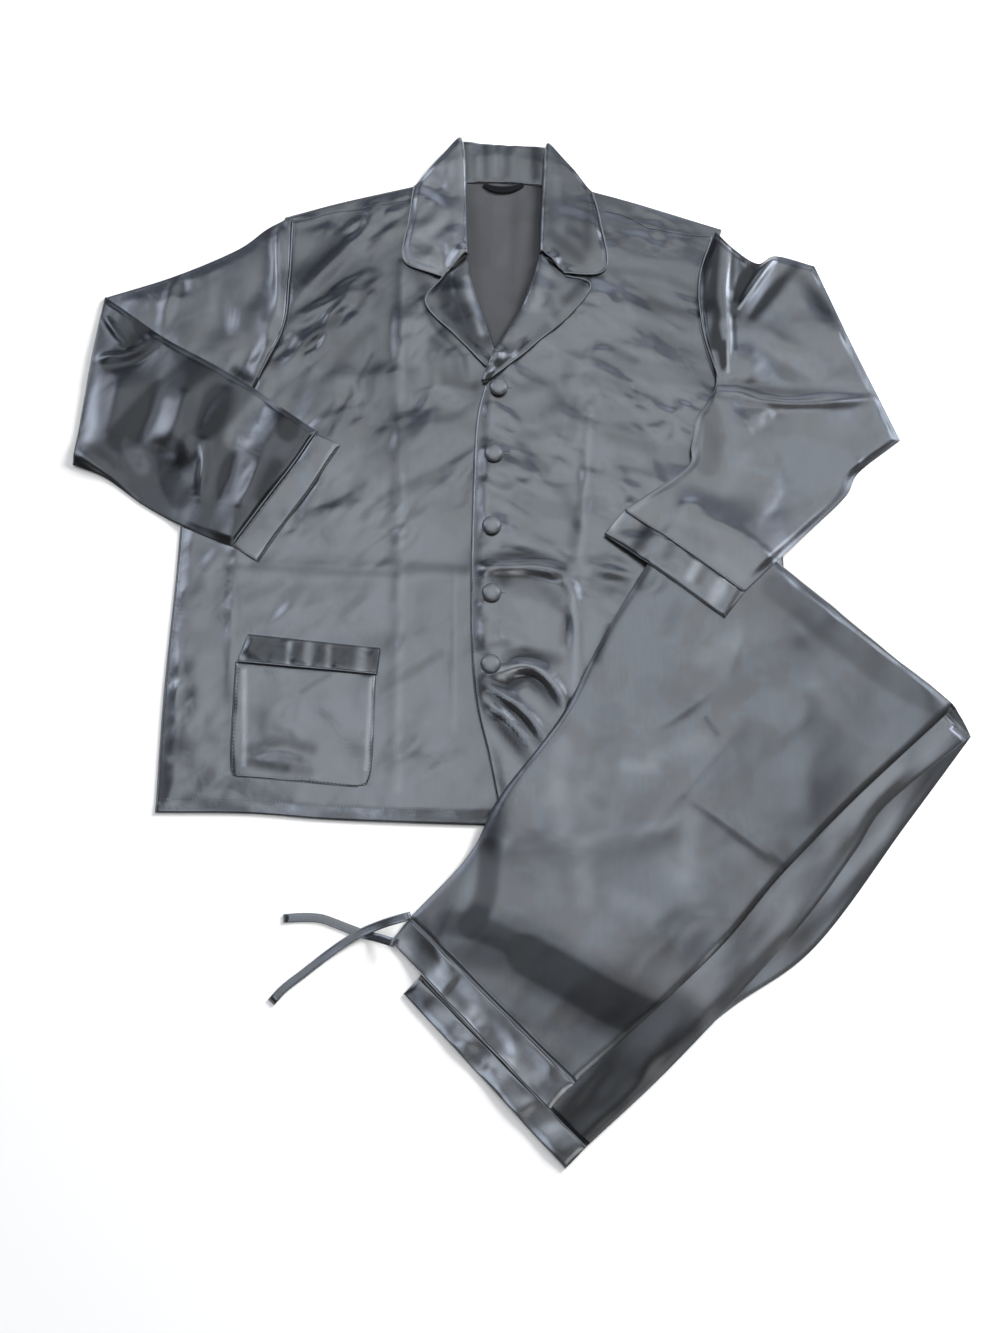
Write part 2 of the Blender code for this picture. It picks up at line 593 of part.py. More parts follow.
def triangles_of(grid):
    """Corners of the two triangles in each quad of a grid."""
    points = grid.reshape(-1, 3)
    quads = np.array(grid_faces(*grid.shape[:2]))
    return np.concatenate([points[quads[:, [0, 1, 2]]], points[quads[:, [0, 2, 3]]]])


def make_collar_back(pile):
    """The stand behind the neck, from the neck seam to the collar's top edge."""
    seam = smooth_line(NECK, 9) + np.array((0, SEAM))
    left = smooth_line([seam[0], STAND_TOP[0]], 5)
    right = smooth_line([seam[-1], STAND_TOP[-1]], 5)
    grid = between_edges(seam, smooth_line(STAND_TOP, 9), left, right)
    pile.add(sheet("collar_stand", raised(grid, np.zeros(grid.shape[:2])), STAND_CLOTH))


def make_neck_loop(pile):
    """The hanging loop, flat on the inside of the back below the neck seam."""
    half = np.array((LOOP_LENGTH / 2, LOOP_WIDTH / 2))
    centre = np.array(LOOP_CENTRE)
    grid = np.stack([[centre + half * (i, j) for i in np.linspace(-1, 1, 5)]
                     for j in (-1, 0, 1)])
    height = np.full(grid.shape[:2], CLOTH + AIR)
    pile.add(sheet("neck_loop", raised(grid, height), CLOTH, SATIN_DARK))


def make_pocket(pile):
    left, right = smooth_line(POCKET_LEFT, 8), smooth_line(POCKET_RIGHT, 8)
    grid = between_edges(smooth_line([left[0], right[0]], 8),
                         smooth_line([left[-1], right[-1]], 8), left, right)
    lay_sheet(pile, "pocket", grid, CLOTH)
    low_left, low_right, high_right, high_left = POCKET_BAND
    band = np.stack([smooth_line([low_left, low_right], 8),
                     smooth_line([high_left, high_right], 8)])
    lay_sheet(pile, "pocket_band", band, POCKET_BAND_CLOTH)


def make_buttons(pile):
    angles = np.linspace(0, 2 * math.pi, BUTTON_STEPS, endpoint=False)
    foot = BUTTON_FOOT * BUTTON_RADIUS * np.stack([np.cos(angles), np.sin(angles)], 1)
    for number, place in enumerate(BUTTONS, 1):
        level = pile.highest_near(np.array(place) + foot).max() + SEAM
        pile.add(button(f"button_{number}", place, level))


def make_right_sleeve(pile):
    """The sleeve turned back at the elbow: its forearm lies on its upper arm."""
    columns = 8
    hole = smooth_line([(level.right + SLEEVE_LAP, level.y) for level in ARMHOLES]
                       + [RIGHT_UPPER_ARM[0].upper], columns)
    upper_arm = starting_at(between_sections(RIGHT_UPPER_ARM, 10, columns), hole)
    level = pile.drop(upper_arm) + SLEEVE_OUTER
    lower = raised(upper_arm, level)
    pile.cover(triangles_of(raised(upper_arm, level + SLEEVE_OUTER)))
    forearm = between_sections(RIGHT_FOREARM, 13, columns)
    cuff = between_sections(RIGHT_CUFF, 3, columns)
    both = np.concatenate([forearm, cuff])
    level = pile.drop(both) + SLEEVE_OUTER + ridges_of("sleeve_right", both)
    upper = raised(both, level)
    turn = SLEEVE_OUTER * 2 + AIR
    upper[0, :, 2] = np.maximum(upper[0, :, 2], lower[-1, :, 2] + turn)
    outward = outward_of(upper[0], upper[1])
    fold = round_fold(upper[0], lower[-1], outward)[::-1]
    middle = np.concatenate([lower, fold, upper[:len(forearm)]])
    turns = np.linspace(0, math.pi, FOLD_STEPS + 1)[1:-1]
    up = [np.tile(UP, (columns, 1))] * len(lower)
    up += [math.cos(a) * UP - math.sin(a) * outward for a in turns]
    up += [np.tile(-UP, (columns, 1))] * len(forearm)
    flat_tube(pile, "sleeve_right", middle, np.stack(up))
    flat_tube(pile, "cuff_right", upper[len(forearm):],
              np.tile(UP, (len(cuff), columns, 1)))


def flat_tube(pile, name, middle, up):
    """A flattened tube round a grid, with the upward direction at each of its points."""
    arcs = [math.radians(angle) for angle in TURN_ARC]

    def rings(half):
        first, last = middle[:, 0] - middle[:, 1], middle[:, -1] - middle[:, -2]
        first = first / np.linalg.norm(first, axis=1)[:, None]
        last = last / np.linalg.norm(last, axis=1)[:, None]
        ring = [middle[:, j] + half * up[:, j] for j in range(middle.shape[1])]
        ring += [middle[:, -1] + half * (math.cos(a) * up[:, -1] + math.sin(a) * last)
                 for a in arcs]
        ring += [middle[:, j] - half * up[:, j] for j in reversed(range(middle.shape[1]))]
        ring += [middle[:, 0] + half * (math.sin(a) * first - math.cos(a) * up[:, 0])
                 for a in arcs]
        return np.stack(ring, axis=1)

    outer, inner = rings(SLEEVE_OUTER), rings(SLEEVE_INNER)
    rows, columns = outer.shape[:2]
    shell, end = rows * columns, (rows - 1) * columns
    skin = grid_faces(rows, columns, closed=True)
    faces = [face[::-1] for face in skin]
    faces += [tuple(shell + k for k in face) for face in skin]
    for j in range(columns):
        k = (j + 1) % columns
        faces.append((j, k, shell + k, shell + j))
        faces.append((end + k, end + j, shell + end + j, shell + end + k))
    points = np.concatenate([outer.reshape(-1, 3), inner.reshape(-1, 3)])
    volume = sum(np.dot(points[face[0]], np.cross(points[face[i]], points[face[i + 1]]))
                 for face in faces for i in (1, 2))
    if volume < 0:
        faces = [face[::-1] for face in faces]
    pile.add(new_object(name, points, faces, SATIN))


def make_left_sleeve(pile):
    """The sleeve bent at the elbow, whose cuff lies on the trousers."""
    columns = 8
    first = LEFT_SHOULDER_CAP[0]
    hole = smooth_line([first.lower]
                       + [(level.left - SLEEVE_LAP, level.y) for level in ARMHOLES
                          if level.y > first.lower.y]
                       + [first.upper], columns)
    sleeve = np.concatenate([
        starting_at(between_sections(LEFT_SHOULDER_CAP, 9, columns), hole),
        between_sections(LEFT_UPPER_ARM, 9, columns)[1:],
        between_sections(LEFT_FOREARM, 12, columns)[1:]])
    cuff = between_sections(LEFT_CUFF, 3, columns)
    both = np.concatenate([sleeve, cuff])
    level = pile.drop(both) + SLEEVE_OUTER + ridges_of("sleeve_left", both)
    middle = raised(both, level)
    up = np.tile(UP, (*both.shape[:2], 1))
    flat_tube(pile, "sleeve_left", middle[:len(sleeve)], up[:len(sleeve)])
    flat_tube(pile, "cuff_left", middle[len(sleeve):], up[len(sleeve):])


def run_grid(inner, outer, end, knee, rows, columns):
    """A trouser run between its edges, from its waist or hem end to the knee fold."""
    return between_edges(smooth_line(end, columns), smooth_line(knee, columns),
                         smooth_line(inner, rows), smooth_line(outer, rows))


def make_trousers(pile):
    rows, columns = 15, 9
    bottom = run_grid(BOTTOM_RUN_INNER, BOTTOM_RUN_OUTER, BOTTOM_RUN_HEM,
                      BOTTOM_RUN_KNEE, rows, columns)
    bottom_level = pile.drop(bottom) + LEG_CLOTH
    pile.cover(triangles_of(raised(bottom, bottom_level)))

    hem_end = [LOWER_RUN_INNER[0], LOWER_RUN_OUTER[0]]
    lower = run_grid(LOWER_RUN_INNER, LOWER_RUN_OUTER, hem_end, LOWER_RUN_KNEE,
                     rows, columns)
    band = np.stack([smooth_line(HEM_BAND_LOW, columns), smooth_line(HEM_SEAM, columns)])
    lower_level = pile.drop(np.concatenate([band, lower]))
    pile.add(sheet("hem_band", raised(band, lower_level[:2]), HEM_BAND_CLOTH))
    lower_level = lower_level[2:] + HIDDEN_LEG
    pile.cover(triangles_of(raised(lower, lower_level)))

    waist_end = [TOP_RUN_INNER[0], TOP_RUN_OUTER[0]]
    hidden = run_grid(TOP_RUN_INNER[:-1] + HIDDEN_RUN_KNEE[:1],
                      TOP_RUN_OUTER[:-1] + HIDDEN_RUN_KNEE[-1:],
                      waist_end, HIDDEN_RUN_KNEE, rows, columns)
    across = hidden[:, -1:] - hidden[:, :1]
    inset = INNER_RUN_INSET / np.linalg.norm(across, axis=-1, keepdims=True)
    spread = np.linspace(-1, 1, columns)[None, :, None]
    hidden[1:-1] -= (spread * inset * across)[1:-1]
    hidden_level = pile.drop(hidden)
    pile.add(folded_sheet("leg_right", raised(hidden, hidden_level),
                          raised(lower, lower_level), HIDDEN_LEG))

    top = run_grid(TOP_RUN_INNER, TOP_RUN_OUTER, waist_end, TOP_RUN_KNEE, rows, columns)
    band = np.stack([smooth_line(WAISTBAND_LOW, columns), smooth_line(WAIST_SEAM, columns)])
    level = pile.drop(np.concatenate([band, top]))
    pile.add(sheet("waistband", raised(band, level[:2]), WAISTBAND_CLOTH))
    level = level[2:] + ridges_of("leg_left", top)
    pile.add(folded_sheet("leg_left", raised(top, level),
                          raised(bottom, bottom_level), LEG_CLOTH))


def centre_on_origin():
    """Move the whole set so that its box stands centred on the origin."""
    bpy.context.view_layer.update()
    graph = bpy.context.evaluated_depsgraph_get()
    low, high = Vector((9, 9, 9)), Vector((-9, -9, -9))
    cloth = list(bpy.data.collections["Pyjama set"].objects)
    for obj in cloth:
        if obj.type != "MESH":
            continue
        for corner in obj.evaluated_get(graph).bound_box:
            place = obj.matrix_world @ Vector(corner)
            low = Vector(map(min, low, place))
            high = Vector(map(max, high, place))
    shift = Vector((-(low.x + high.x) / 2, -(low.y + high.y) / 2, -low.z))
    for obj in cloth:
        obj.location += shift


def main():
    clear_scene()
    new_collection("Pyjama set")
    new_collection("Guides")
    pile = Pile()
    make_back(pile)
    make_collar_back(pile)
    make_neck_loop(pile)
    make_front_right(pile)
    make_turned(pile, "lapel_right", LAPEL_RIGHT_ROLL, LAPEL_RIGHT_FREE, LAPEL_TURN, 8)
    make_front_left(pile)
    make_turned(pile, "lapel_left", LAPEL_LEFT_ROLL, LAPEL_LEFT_FREE, LAPEL_TURN, 9)
    make_turned(pile, "collar_right", WING_RIGHT_ROLL, WING_RIGHT_FREE, WING_TURN, 9)
    make_turned(pile, "collar_left", WING_LEFT_ROLL, WING_LEFT_FREE, WING_TURN, 9)
    make_pocket(pile)
    make_buttons(pile)
    make_right_sleeve(pile)
    make_trousers(pile)
    make_left_sleeve(pile)
    section = tape_section()
    tape("drawstring_lower", TAPE_LOWER, section)
    tape("drawstring_upper", TAPE_UPPER, section)
    centre_on_origin()


main()
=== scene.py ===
"""Satin pyjama set, laid flat: dressed model of the jacket and the folded trousers."""

import math
from collections import namedtuple

import bpy
import numpy as np
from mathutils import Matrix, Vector


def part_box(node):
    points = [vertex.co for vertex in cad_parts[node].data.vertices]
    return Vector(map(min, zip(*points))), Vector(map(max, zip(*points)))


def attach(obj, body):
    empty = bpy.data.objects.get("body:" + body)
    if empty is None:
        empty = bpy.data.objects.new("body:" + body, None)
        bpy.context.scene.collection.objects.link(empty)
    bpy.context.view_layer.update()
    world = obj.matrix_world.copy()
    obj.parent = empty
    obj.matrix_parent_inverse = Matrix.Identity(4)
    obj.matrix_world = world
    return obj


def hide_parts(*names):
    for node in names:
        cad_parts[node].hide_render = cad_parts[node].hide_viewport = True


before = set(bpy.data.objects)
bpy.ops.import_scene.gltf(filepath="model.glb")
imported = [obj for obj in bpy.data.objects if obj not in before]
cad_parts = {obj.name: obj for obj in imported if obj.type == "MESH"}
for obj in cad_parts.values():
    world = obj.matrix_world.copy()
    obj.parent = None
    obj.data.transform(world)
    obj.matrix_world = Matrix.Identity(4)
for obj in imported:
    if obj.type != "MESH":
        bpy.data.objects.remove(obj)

bl_info = {
    "name": "Satin pyjama set",
    "version": (1, 0, 0),
    "blender": (4, 5, 0),
    "location": "View3D > Sidebar > Pyjamas",
    "description": "Builds a button-front satin jacket and drawstring trousers, laid flat",
    "category": "Object",
}

# Lengths are in metres. Layout points are measured from the middle of the jacket's
# hem, with +X to the viewer's right and +Y towards the collar. Right and left in
# names are the wearer's. Pieces are laid in order, from the surface up, and each
# one is draped over the pile that already lies there.

MM = 0.001
CELL = 0.002              # raster on which the pile's height is kept
BACK_SPACING = 0.0045     # distance between the points of the back's mesh
REACH = (-0.48, 0.52, -0.34, 0.82)    # least and greatest x, then y, of the raster
AIR = 0.0003              # air between two layers that lie on each other
LAP = 0.036               # overlap of the two fronts
HEM_WIDTH = 0.008         # of the fronts' hem, and how much thicker it is
HEM_EXTRA = 0.0004
SLEEVE_LAP = 0.009        # how far a sleeve lies over its armhole edge
SLEEVE_COLUMNS = 84       # points across a sleeve
LEG_COLUMNS = 80          # points across a leg
PANEL_COLUMNS = 66        # points across the pocket and its band
BAND_ROWS = 14            # points along a cuff, the waistband, the hem or the pocket band
LOW_RUN_ROWS = 90         # points along the two runs of the legs that lie below
TUBE_WALL = 0.8           # share of the cloth's thickness that a sleeve or leg has
BAND_WALL = 0.0006        # thickness of a band's cloth
FOREARM_SHADE = 0.64      # painted shade on the right forearm, whose satin's sheen looks darker
FOLD_ANGLES = np.linspace(0, math.pi, 7)[1:-1]    # of the rows of cloth round a fold
WIDEST_FOLD = 0.0040      # most that a fold bulges past its line
EDGE = 0.0007             # half the thickness of a flattened tube's rounded edge
THINNEST = 0.00012        # least distance of a tube's skin from its middle
BEND = 0.0004             # height over which a fold that would sink is bent level
UP = np.array((0.0, 0.0, 1.0))

Level = namedtuple("Level", "y right left")
Point = namedtuple("Point", "x y")
Section = namedtuple("Section", "upper lower")


def table(kind, *rows):
    """Rows of plain values as rows with the named columns of their kind."""
    return tuple(kind(*row) for row in rows)


def points(*places):
    return table(Point, *places)


def sections(*rows):
    """Cross sections: x and y of the upper edge, then x and y of the lower one."""
    return tuple(Section(Point(*row[:2]), Point(*row[2:])) for row in rows)


def named_rows(kind, **pieces):
    """Rows for each piece: two numbers, and then the points that a row runs through."""
    return {piece: tuple(kind(*row[:2], row[2:]) for row in rows)
            for piece, rows in pieces.items()}


# ---- Outlines of the jacket
SIDE_SEAMS = table(Level, (0.130, -0.311, 0.311), (0.262, -0.309, 0.310), (0.390, -0.310, 0.311))
ARMHOLES = table(Level, (0.390, -0.310, 0.311), (0.430, -0.274, 0.283), (0.475, -0.249, 0.264),
                 (0.540, -0.225, 0.250), (0.600, -0.222, 0.251))
HEM = points((-0.309, 0.012), (-0.218, 0.011), (-0.138, 0.005), (0.000, 0.000), (0.158, -0.003),
             (0.310, -0.005))
SHOULDER_RIGHT = points((-0.222, 0.681), (-0.159, 0.701), (-0.073, 0.724))
SHOULDER_LEFT = points((0.125, 0.716), (0.177, 0.699), (0.270, 0.665))
NECK = points((-0.073, 0.724), (0.024, 0.728), (0.125, 0.716))
FRONT_EDGE = points((0.022, -0.001), (0.009, 0.066), (-0.004, 0.123), (-0.009, 0.192),
                    (-0.009, 0.300), (-0.005, 0.420), (0.004, 0.468))
NECKLINE_RIGHT = points((0.016, 0.507), (-0.014, 0.594), (-0.019, 0.632), (-0.036, 0.690),
                        (-0.073, 0.724))
NECKLINE_LEFT = points((0.004, 0.468), (0.036, 0.543), (0.068, 0.636), (0.085, 0.685),
                       (0.125, 0.716))

# ---- Collar and lapels: roll line and free edge, both from low to high
# Turn is how far the cloth goes on past the roll line underneath, rise the height at which
# it rolls over, and dome how far its free part swells.
Turned = namedtuple("Turned", "name roll free turn rise dome rests_on")
LAPEL_RIGHT = Turned(
    "lapel_right",
    points((0.015, 0.499), (-0.001, 0.555), (-0.013, 0.594), (-0.018, 0.629)),
    points((0.006, 0.490), (-0.028, 0.527), (-0.061, 0.569), (-0.040, 0.606)),
    0.016, 0.0028, 0.0012, "front_right_cloth")
LAPEL_LEFT = Turned(
    "lapel_left",
    points((0.003, 0.470), (0.018, 0.509), (0.037, 0.543), (0.056, 0.584), (0.067, 0.629)),
    points((0.012, 0.475), (0.061, 0.521), (0.098, 0.554), (0.120, 0.590), (0.092, 0.601)),
    0.016, 0.0028, 0.0012, "front_left_cloth")
WING_RIGHT = Turned(
    "collar_right",
    points((-0.018, 0.627), (-0.020, 0.655), (-0.022, 0.745), (-0.026, 0.781)),
    points((-0.043, 0.602), (-0.086, 0.622), (-0.082, 0.673), (-0.077, 0.722)),
    0.020, 0.0042, 0.0016, "back_cloth")
WING_LEFT = Turned(
    "collar_left",
    points((0.068, 0.632), (0.071, 0.690), (0.074, 0.745), (0.076, 0.773)),
    points((0.091, 0.604), (0.137, 0.612), (0.133, 0.671), (0.125, 0.714)),
    0.020, 0.0042, 0.0016, "back_cloth")
TURN_SHARE = 0.6          # most of a lapel's or wing's width that is turned under
STAND_TOP = points((-0.026, 0.782), (0.024, 0.778), (0.076, 0.774))
LOOP = points((0.002, 0.7252), (0.012, 0.7195), (0.024, 0.7175), (0.036, 0.7195), (0.047, 0.7250))
STAND_FOOT = 0.0008       # height of the collar behind the neck at its seam, and its rise
STAND_RISE = 0.0052
TURNED_WALL = 0.0009      # thickness of the collar's and the lapels' doubled cloth

# ---- Pocket and buttons
POCKET_LIFT = 0.0006      # air under the pocket, and under its band
POCKET_BAND_LIFT = 0.0010
POCKET_LEFT = points((-0.228, 0.046), (-0.240, 0.058), (-0.242, 0.161))
POCKET_RIGHT = points((-0.117, 0.036), (-0.104, 0.050), (-0.102, 0.148))
POCKET_BAND = points((-0.240, 0.1613), (-0.101, 0.1483), (-0.099, 0.175), (-0.231, 0.189))
BUTTONS = points((0.019, 0.463), (0.014, 0.384), (0.012, 0.304), (0.012, 0.232), (0.011, 0.157))
ButtonRing = namedtuple("ButtonRing", "radius height")    # as shares of the whole
BUTTON_PROFILE = table(ButtonRing, (0.0, 1.0), (0.25, 0.985), (0.50, 0.93), (0.70, 0.82),
                       (0.86, 0.66), (0.96, 0.48), (1.0, 0.32), (0.97, 0.14), (0.88, 0.03),
                       (0.70, 0.0), (0.0, 0.0))
BUTTON_STEPS = 40
BUTTON_FOOT = 0.7         # share of the radius that bears on the cloth
BUTTONHOLE = np.array([(0.007, 0.001), (0.010, 0.0012), (0.0150, 0.0016)])   # off the centre

# ---- Sleeves: across each section, the edge nearer the collar, then the other
RIGHT_UPPER_ARM = sections(
    (-0.214, 0.678, -0.300, 0.384),     # armhole
    (-0.240, 0.666, -0.320, 0.382),
    (-0.273, 0.638, -0.340, 0.380),
    (-0.340, 0.604, -0.380, 0.377),
    (-0.413, 0.577, -0.426, 0.376),     # elbow fold
)
RIGHT_FOREARM = sections(
    (-0.413, 0.576, -0.426, 0.375),     # elbow fold
    (-0.342, 0.523, -0.392, 0.361),
    (-0.280, 0.487, -0.350, 0.331),
    (-0.223, 0.449, -0.306, 0.306),
    (-0.173, 0.411, -0.253, 0.283),     # cuff seam
)
RIGHT_CUFF = sections(
    (-0.1727, 0.4108, -0.2527, 0.2828),
    (-0.148, 0.395, -0.226, 0.267),
)
LEFT_SHOULDER_CAP = sections(
    (0.262, 0.661, 0.255, 0.475),       # armhole
    (0.283, 0.637, 0.252, 0.468),
    (0.307, 0.620, 0.249, 0.461),
    (0.328, 0.630, 0.248, 0.458),
    (0.370, 0.617, 0.246, 0.455),       # outer corner
)
LEFT_UPPER_ARM = sections(
    (0.370, 0.617, 0.246, 0.455),       # outer corner
    (0.401, 0.523, 0.243, 0.449),
    (0.425, 0.455, 0.240, 0.444),
    (0.443, 0.404, 0.236, 0.438),       # elbow
)
LEFT_FOREARM = sections(
    (0.443, 0.404, 0.236, 0.438),       # elbow
    (0.396, 0.367, 0.228, 0.424),
    (0.379, 0.339, 0.222, 0.395),
    (0.335, 0.297, 0.214, 0.368),
    (0.264, 0.230, 0.149, 0.320),       # cuff seam
)
LEFT_CUFF = sections(
    (0.2638, 0.2297, 0.1488, 0.3197),
    (0.243, 0.203, 0.127, 0.293),
)

# ---- Trousers, folded: each run's edges, from waist or hem end to the knee fold
Run = namedtuple("Run", "inner outer end knee")
TOP_RUN = Run(
    points((-0.063, -0.086), (-0.008, -0.028), (0.020, 0.025), (0.079, 0.102), (0.130, 0.196),
           (0.214, 0.331)),
    points((0.087, -0.227), (0.215, -0.118), (0.285, -0.044), (0.369, 0.034), (0.464, 0.115)),
    points((-0.063, -0.086), (0.087, -0.227)),
    points((0.214, 0.331), (0.305, 0.254), (0.402, 0.168), (0.464, 0.115)))
HIDDEN_RUN = Run(
    TOP_RUN.inner[:-1] + points((0.210, 0.325)),
    TOP_RUN.outer[:-1] + points((0.459, 0.109)),
    TOP_RUN.end,
    points((0.210, 0.325), (0.301, 0.249), (0.397, 0.163), (0.459, 0.109)))
LOWER_RUN = Run(
    points((-0.053, -0.139), (0.004, -0.034), (0.079, 0.096), (0.210, 0.325)),
    points((0.096, -0.280), (0.178, -0.210), (0.290, -0.101), (0.354, -0.026), (0.390, 0.020),
           (0.473, 0.083)),
    points((-0.053, -0.139), (0.096, -0.280)),
    points((0.210, 0.325), (0.301, 0.249), (0.397, 0.163), (0.473, 0.083)))
BOTTOM_RUN = Run(
    points((-0.055, -0.150), (0.006, -0.036), (0.081, 0.094), (0.213, 0.329)),
    points((0.079, -0.289), (0.216, -0.175), (0.310, -0.112), (0.407, 0.001), (0.479, 0.086)),
    points((-0.055, -0.150), (0.079, -0.289)),
    points((0.213, 0.329), (0.306, 0.255), (0.404, 0.166), (0.479, 0.086)))
WAISTBAND = sections(
    (-0.080, -0.107, 0.063, -0.250),
    (-0.0632, -0.0862, 0.0868, -0.2272),
)
HEM_BAND = sections(
    (-0.067, -0.153, 0.077, -0.298),
    (-0.0532, -0.1393, 0.0958, -0.2803),
)
INNER_RUN_INSET = 0.003   # how far the hidden run lies inside the one that covers it

# ---- Drawstring: route of each free end
Stop = namedtuple("Stop", "x y z")        # z is the height of the tape's middle
TAPE_UPPER = table(Stop, (-0.0615, -0.0838, 0.0130), (-0.078, -0.088, 0.0108),
                   (-0.092, -0.0925, 0.0070), (-0.108, -0.099, 0.0042), (-0.125, -0.109, 0.0032),
                   (-0.142, -0.121, 0.0014), (-0.160, -0.135, 0.0010), (-0.177, -0.148, 0.0010),
                   (-0.188, -0.160, 0.0010))
TAPE_LOWER = table(Stop, (-0.0755, -0.1080, 0.0134), (-0.088, -0.1045, 0.0078),
                   (-0.097, -0.1022, 0.0030), (-0.107, -0.0998, 0.0010), (-0.131, -0.091, 0.0010),
                   (-0.146, -0.086, 0.0010), (-0.163, -0.085, 0.0010), (-0.181, -0.086, 0.0010))
TAPE_STEP = 0.006         # distance between a tape's points
# Half of a tape's cross section, from one edge over its upper side, in half widths and
# half thicknesses. The other half is the same, turned round.
TAPE_SECTION = ((1.0, 0.0), (0.94, 0.62), (0.80, 0.95), (0.3, 0.9), (-0.3, 0.9),
                (-0.80, 0.95), (-0.94, 0.62))
